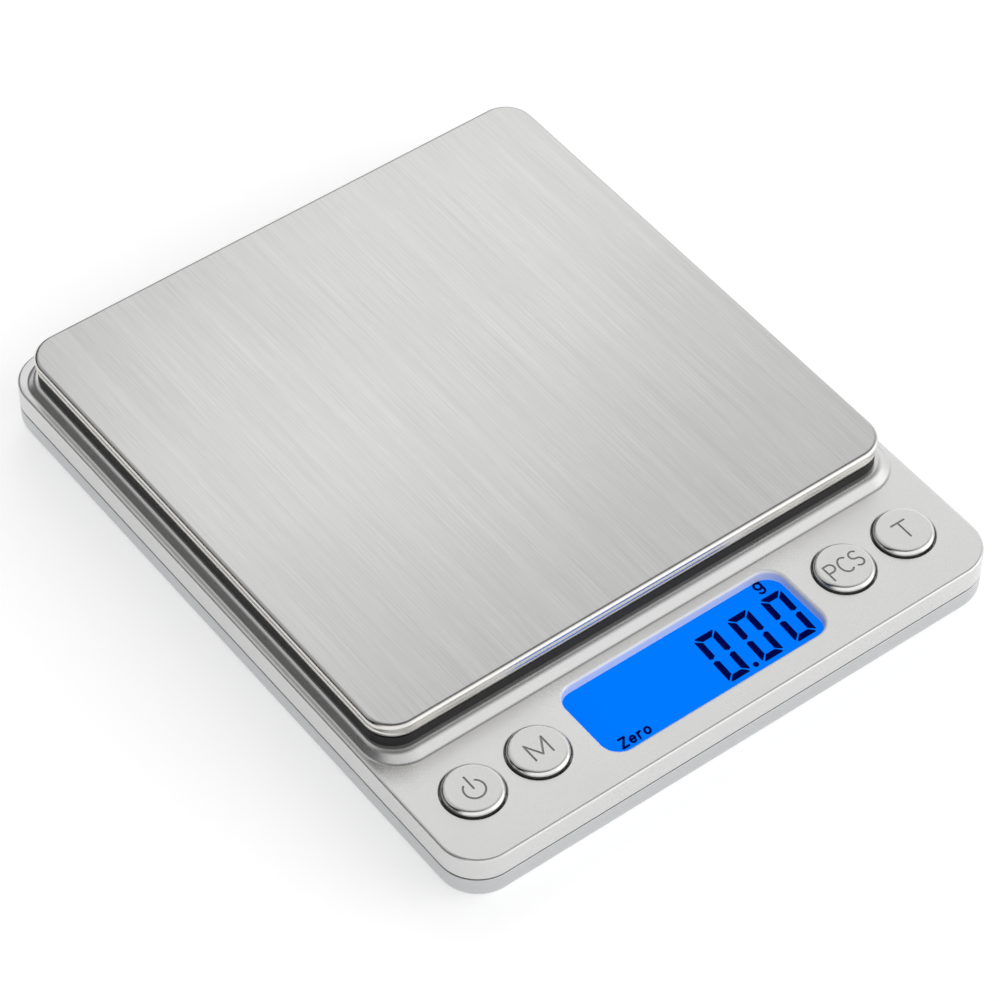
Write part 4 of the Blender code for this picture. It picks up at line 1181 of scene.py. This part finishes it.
def lcd_glass():
    """Lit panel with a fine chamfer round its face."""
    half_x, half_y = LCD_HIGH.x, (LCD_HIGH.y - LCD_LOW.y) / 2
    rings = []
    for inset, height in ((0.0, LCD_LOW.z), (0.0, LCD_HIGH.z - LCD_EDGE), (LCD_EDGE, LCD_HIGH.z)):
        front, back = WINDOW_Y - half_y + inset, WINDOW_Y + half_y - inset
        rings.append(outline(half_x - inset, front, back, LCD_CORNER, height))
    mesh = bmesh.new()
    loft(mesh, rings)
    panel = as_object(mesh, "lcd_glass", FINISHES["blue_display"])
    finished(panel, "housing", "blue_display", "lcd_panel")


def lcd_layer(name, shapes):
    """Dark shapes that lie just above the panel."""
    low = LCD_HIGH.z + INK_THICKNESS / 3
    mesh = bmesh.new()
    for shape in shapes:
        add_prism(mesh, shape, low, low + INK_THICKNESS)
    layer = as_object(mesh, name, SEGMENT)
    finished(layer, "housing", "blue_display")


def display():
    """Lit panel, with its digits, decimal point and signs."""
    lcd_glass()
    digits = []
    for number in range(DIGIT_COUNT):
        left = FIRST_DIGIT[0] + number * DIGIT_PITCH
        for shape in zero_segments():
            digits.append([(left + x + y * DIGIT_SLANT, FIRST_DIGIT[1] + y) for x, y in shape])
    point_x = FIRST_DIGIT[0] + (DIGIT_PITCH + DIGIT_SIZE[0]) / 2
    point_y = FIRST_DIGIT[1] + POINT_RADIUS
    digits.append([(point_x + x, point_y + y) for x, y in arc(POINT_RADIUS, 0, 345, 23)])
    lcd_layer("lcd_segments", digits)

    signs = []
    for word, height, width, spot, slant in DISPLAY_SIGNS:
        for stroke in write(word, height, SIGN_SPACING):
            leaned = [(spot[0] + x + y * slant, spot[1] + y) for x, y in stroke]
            signs.append(strip(leaned, width))
    lcd_layer("lcd_signs", signs)


# ---------------------------------------------------------------- studio

VIEW_TURN = 37.5
VIEW_RISE = 48.63
VIEW_ROLL = 0.46
VIEW_DISTANCE = 0.6458
VIEW_AIM = (-4.2 * MM, -7.7 * MM, DECK)
LENS = 146.15

# Softboxes that show as bright areas in the steel: name, where on the platform, size, brightness
PANELS = [
    ("near_left_panel", (-30.0 * MM, 4.0 * MM), (0.12, 0.05), 0.73),
    ("far_left_panel", (-30.0 * MM, 45.0 * MM), (0.12, 0.08), 0.16),
    ("far_right_panel", (30.0 * MM, 52.0 * MM), (0.12, 0.08), 0.53),
]
PANEL_DISTANCE = 0.35

# Tent round the stage: where its glows are, and how bright they and its walls are
BACK_WALL = (0.40, 0.55, 0.73)
BACK_GLOW = (0.82, 0.31)
LEFT_WALL = (-0.35, 0.52, 0.78)
LEFT_GLOW = 0.60
FRONT_GLOW = 1.15
RIGHT_GLOW = 1.05
FLOOR_GLOW = 0.44
FLOOR_RADIUS = 3.0


def camera():
    turn, rise = math.radians(VIEW_TURN), math.radians(VIEW_RISE)
    back = Vector((-math.sin(turn) * math.cos(rise), -math.cos(turn) * math.cos(rise), math.sin(rise)))
    data = bpy.data.cameras.new("camera")
    data.lens = LENS
    data.sensor_width = 36.0
    made = bpy.data.objects.new("camera", data)
    made.location = Vector(VIEW_AIM) + back * VIEW_DISTANCE
    level = back.to_track_quat("Z", "Y").to_matrix().to_4x4()
    roll = Matrix.Rotation(math.radians(VIEW_ROLL), 4, "Z")
    made.rotation_mode = "QUATERNION"
    made.rotation_quaternion = (level @ roll).to_quaternion()
    bpy.context.scene.collection.objects.link(made)
    bpy.context.scene.camera = made


def soft_light(name, spot, aim, size, glow):
    """A softbox at spot that faces aim; glow is how bright its face is."""
    data = bpy.data.lights.new(name, "AREA")
    data.shape = "RECTANGLE"
    data.size, data.size_y = size
    data.energy = glow * math.pi * size[0] * size[1]
    made = bpy.data.objects.new(name, data)
    made.location = spot
    made.rotation_mode = "QUATERNION"
    made.rotation_quaternion = (Vector(spot) - Vector(aim)).to_track_quat("Z", "Y")
    bpy.context.scene.collection.objects.link(made)


def mirrored_light(name, spot, size, glow):
    """A softbox that the camera sees mirrored in the platform at spot."""
    place = Vector((*spot, STEEL_HIGH.z))
    seen = (place - bpy.context.scene.camera.location).normalized()
    away = Vector((seen.x, seen.y, -seen.z))
    soft_light(name, place + away * PANEL_DISTANCE, place, size, glow)


def floor():
    """Plain pale sheet that glows a little, so that it stays white under the scale."""
    mesh = bmesh.new()
    bmesh.ops.create_circle(mesh, cap_ends=True, radius=FLOOR_RADIUS, segments=64)
    finish = Finish("pale_floor", {"Roughness": 0.9, "Specular IOR Level": 0.1})
    tone = finish.noise(0.2, 3.0)
    finish.set({
        "Base Color": finish.mix(tone, (0.84, 0.84, 0.84), (0.87, 0.87, 0.87)),
        "Emission Color": (1.0, 1.0, 1.0),
        "Emission Strength": FLOOR_GLOW,
    })
    as_object(mesh, "floor", finish.material)


def world():
    """Studio tent: walls lit in front and on the right, and round glows behind and on the left."""
    sky = bpy.data.worlds.new("studio")
    bpy.context.scene.world = sky
    tent = Nodes(sky)
    way = tent.node("ShaderNodeTexCoord", output="Generated")

    def side(name):
        return tent.node("ShaderNodeSeparateXYZ", {}, {0: way}, name)

    def glow(aim, reach, softness):
        """1 around a direction, fading out at reach degrees."""
        inputs = {0: way, 1: Vector(aim).normalized()}
        near = tent.node("ShaderNodeVectorMath", {"operation": "DOT_PRODUCT"}, inputs, "Value")
        return near.over(math.cos(math.radians(reach)), softness)

    low = 1.0 - side("Z").over(0.62, 0.22)
    front = (0.0 - side("Y")).over(0.25, 0.25) * (1.0 - side("Z").over(0.90, 0.07))
    right = side("X").over(0.45, 0.25) * low
    back = glow(BACK_WALL, 18, 0.05) * BACK_GLOW[0] + glow(BACK_WALL, 38, 0.15) * BACK_GLOW[1]
    left = glow(LEFT_WALL, 26, 0.07) * LEFT_GLOW
    light = front * FRONT_GLOW + right * RIGHT_GLOW + back + left
    background = sky.node_tree.nodes["Background"]
    tent.fill(background.inputs["Strength"], light)
    background.inputs["Color"].default_value = (1.0, 1.0, 1.0, 1.0)


def studio():
    camera()
    floor()
    world()
    for name, spot, size, glow in PANELS:
        mirrored_light(name, spot, size, glow)
    bpy.context.scene.view_settings.view_transform = "Standard"


finish_packed_parts()
upper_shell()
lower_shell()
steel_cap()
carrier_tray()
for button in BUTTONS:
    button_cap(button)
display()
battery_door()
for screw_name in HOUSING_SCREWS + CELL_SCREWS:
    underside_screw(screw_name)
for foot_name in FEET:
    foot_pad(foot_name)
for side_name in ("left", "right"):
    coin_cell(side_name)
studio()
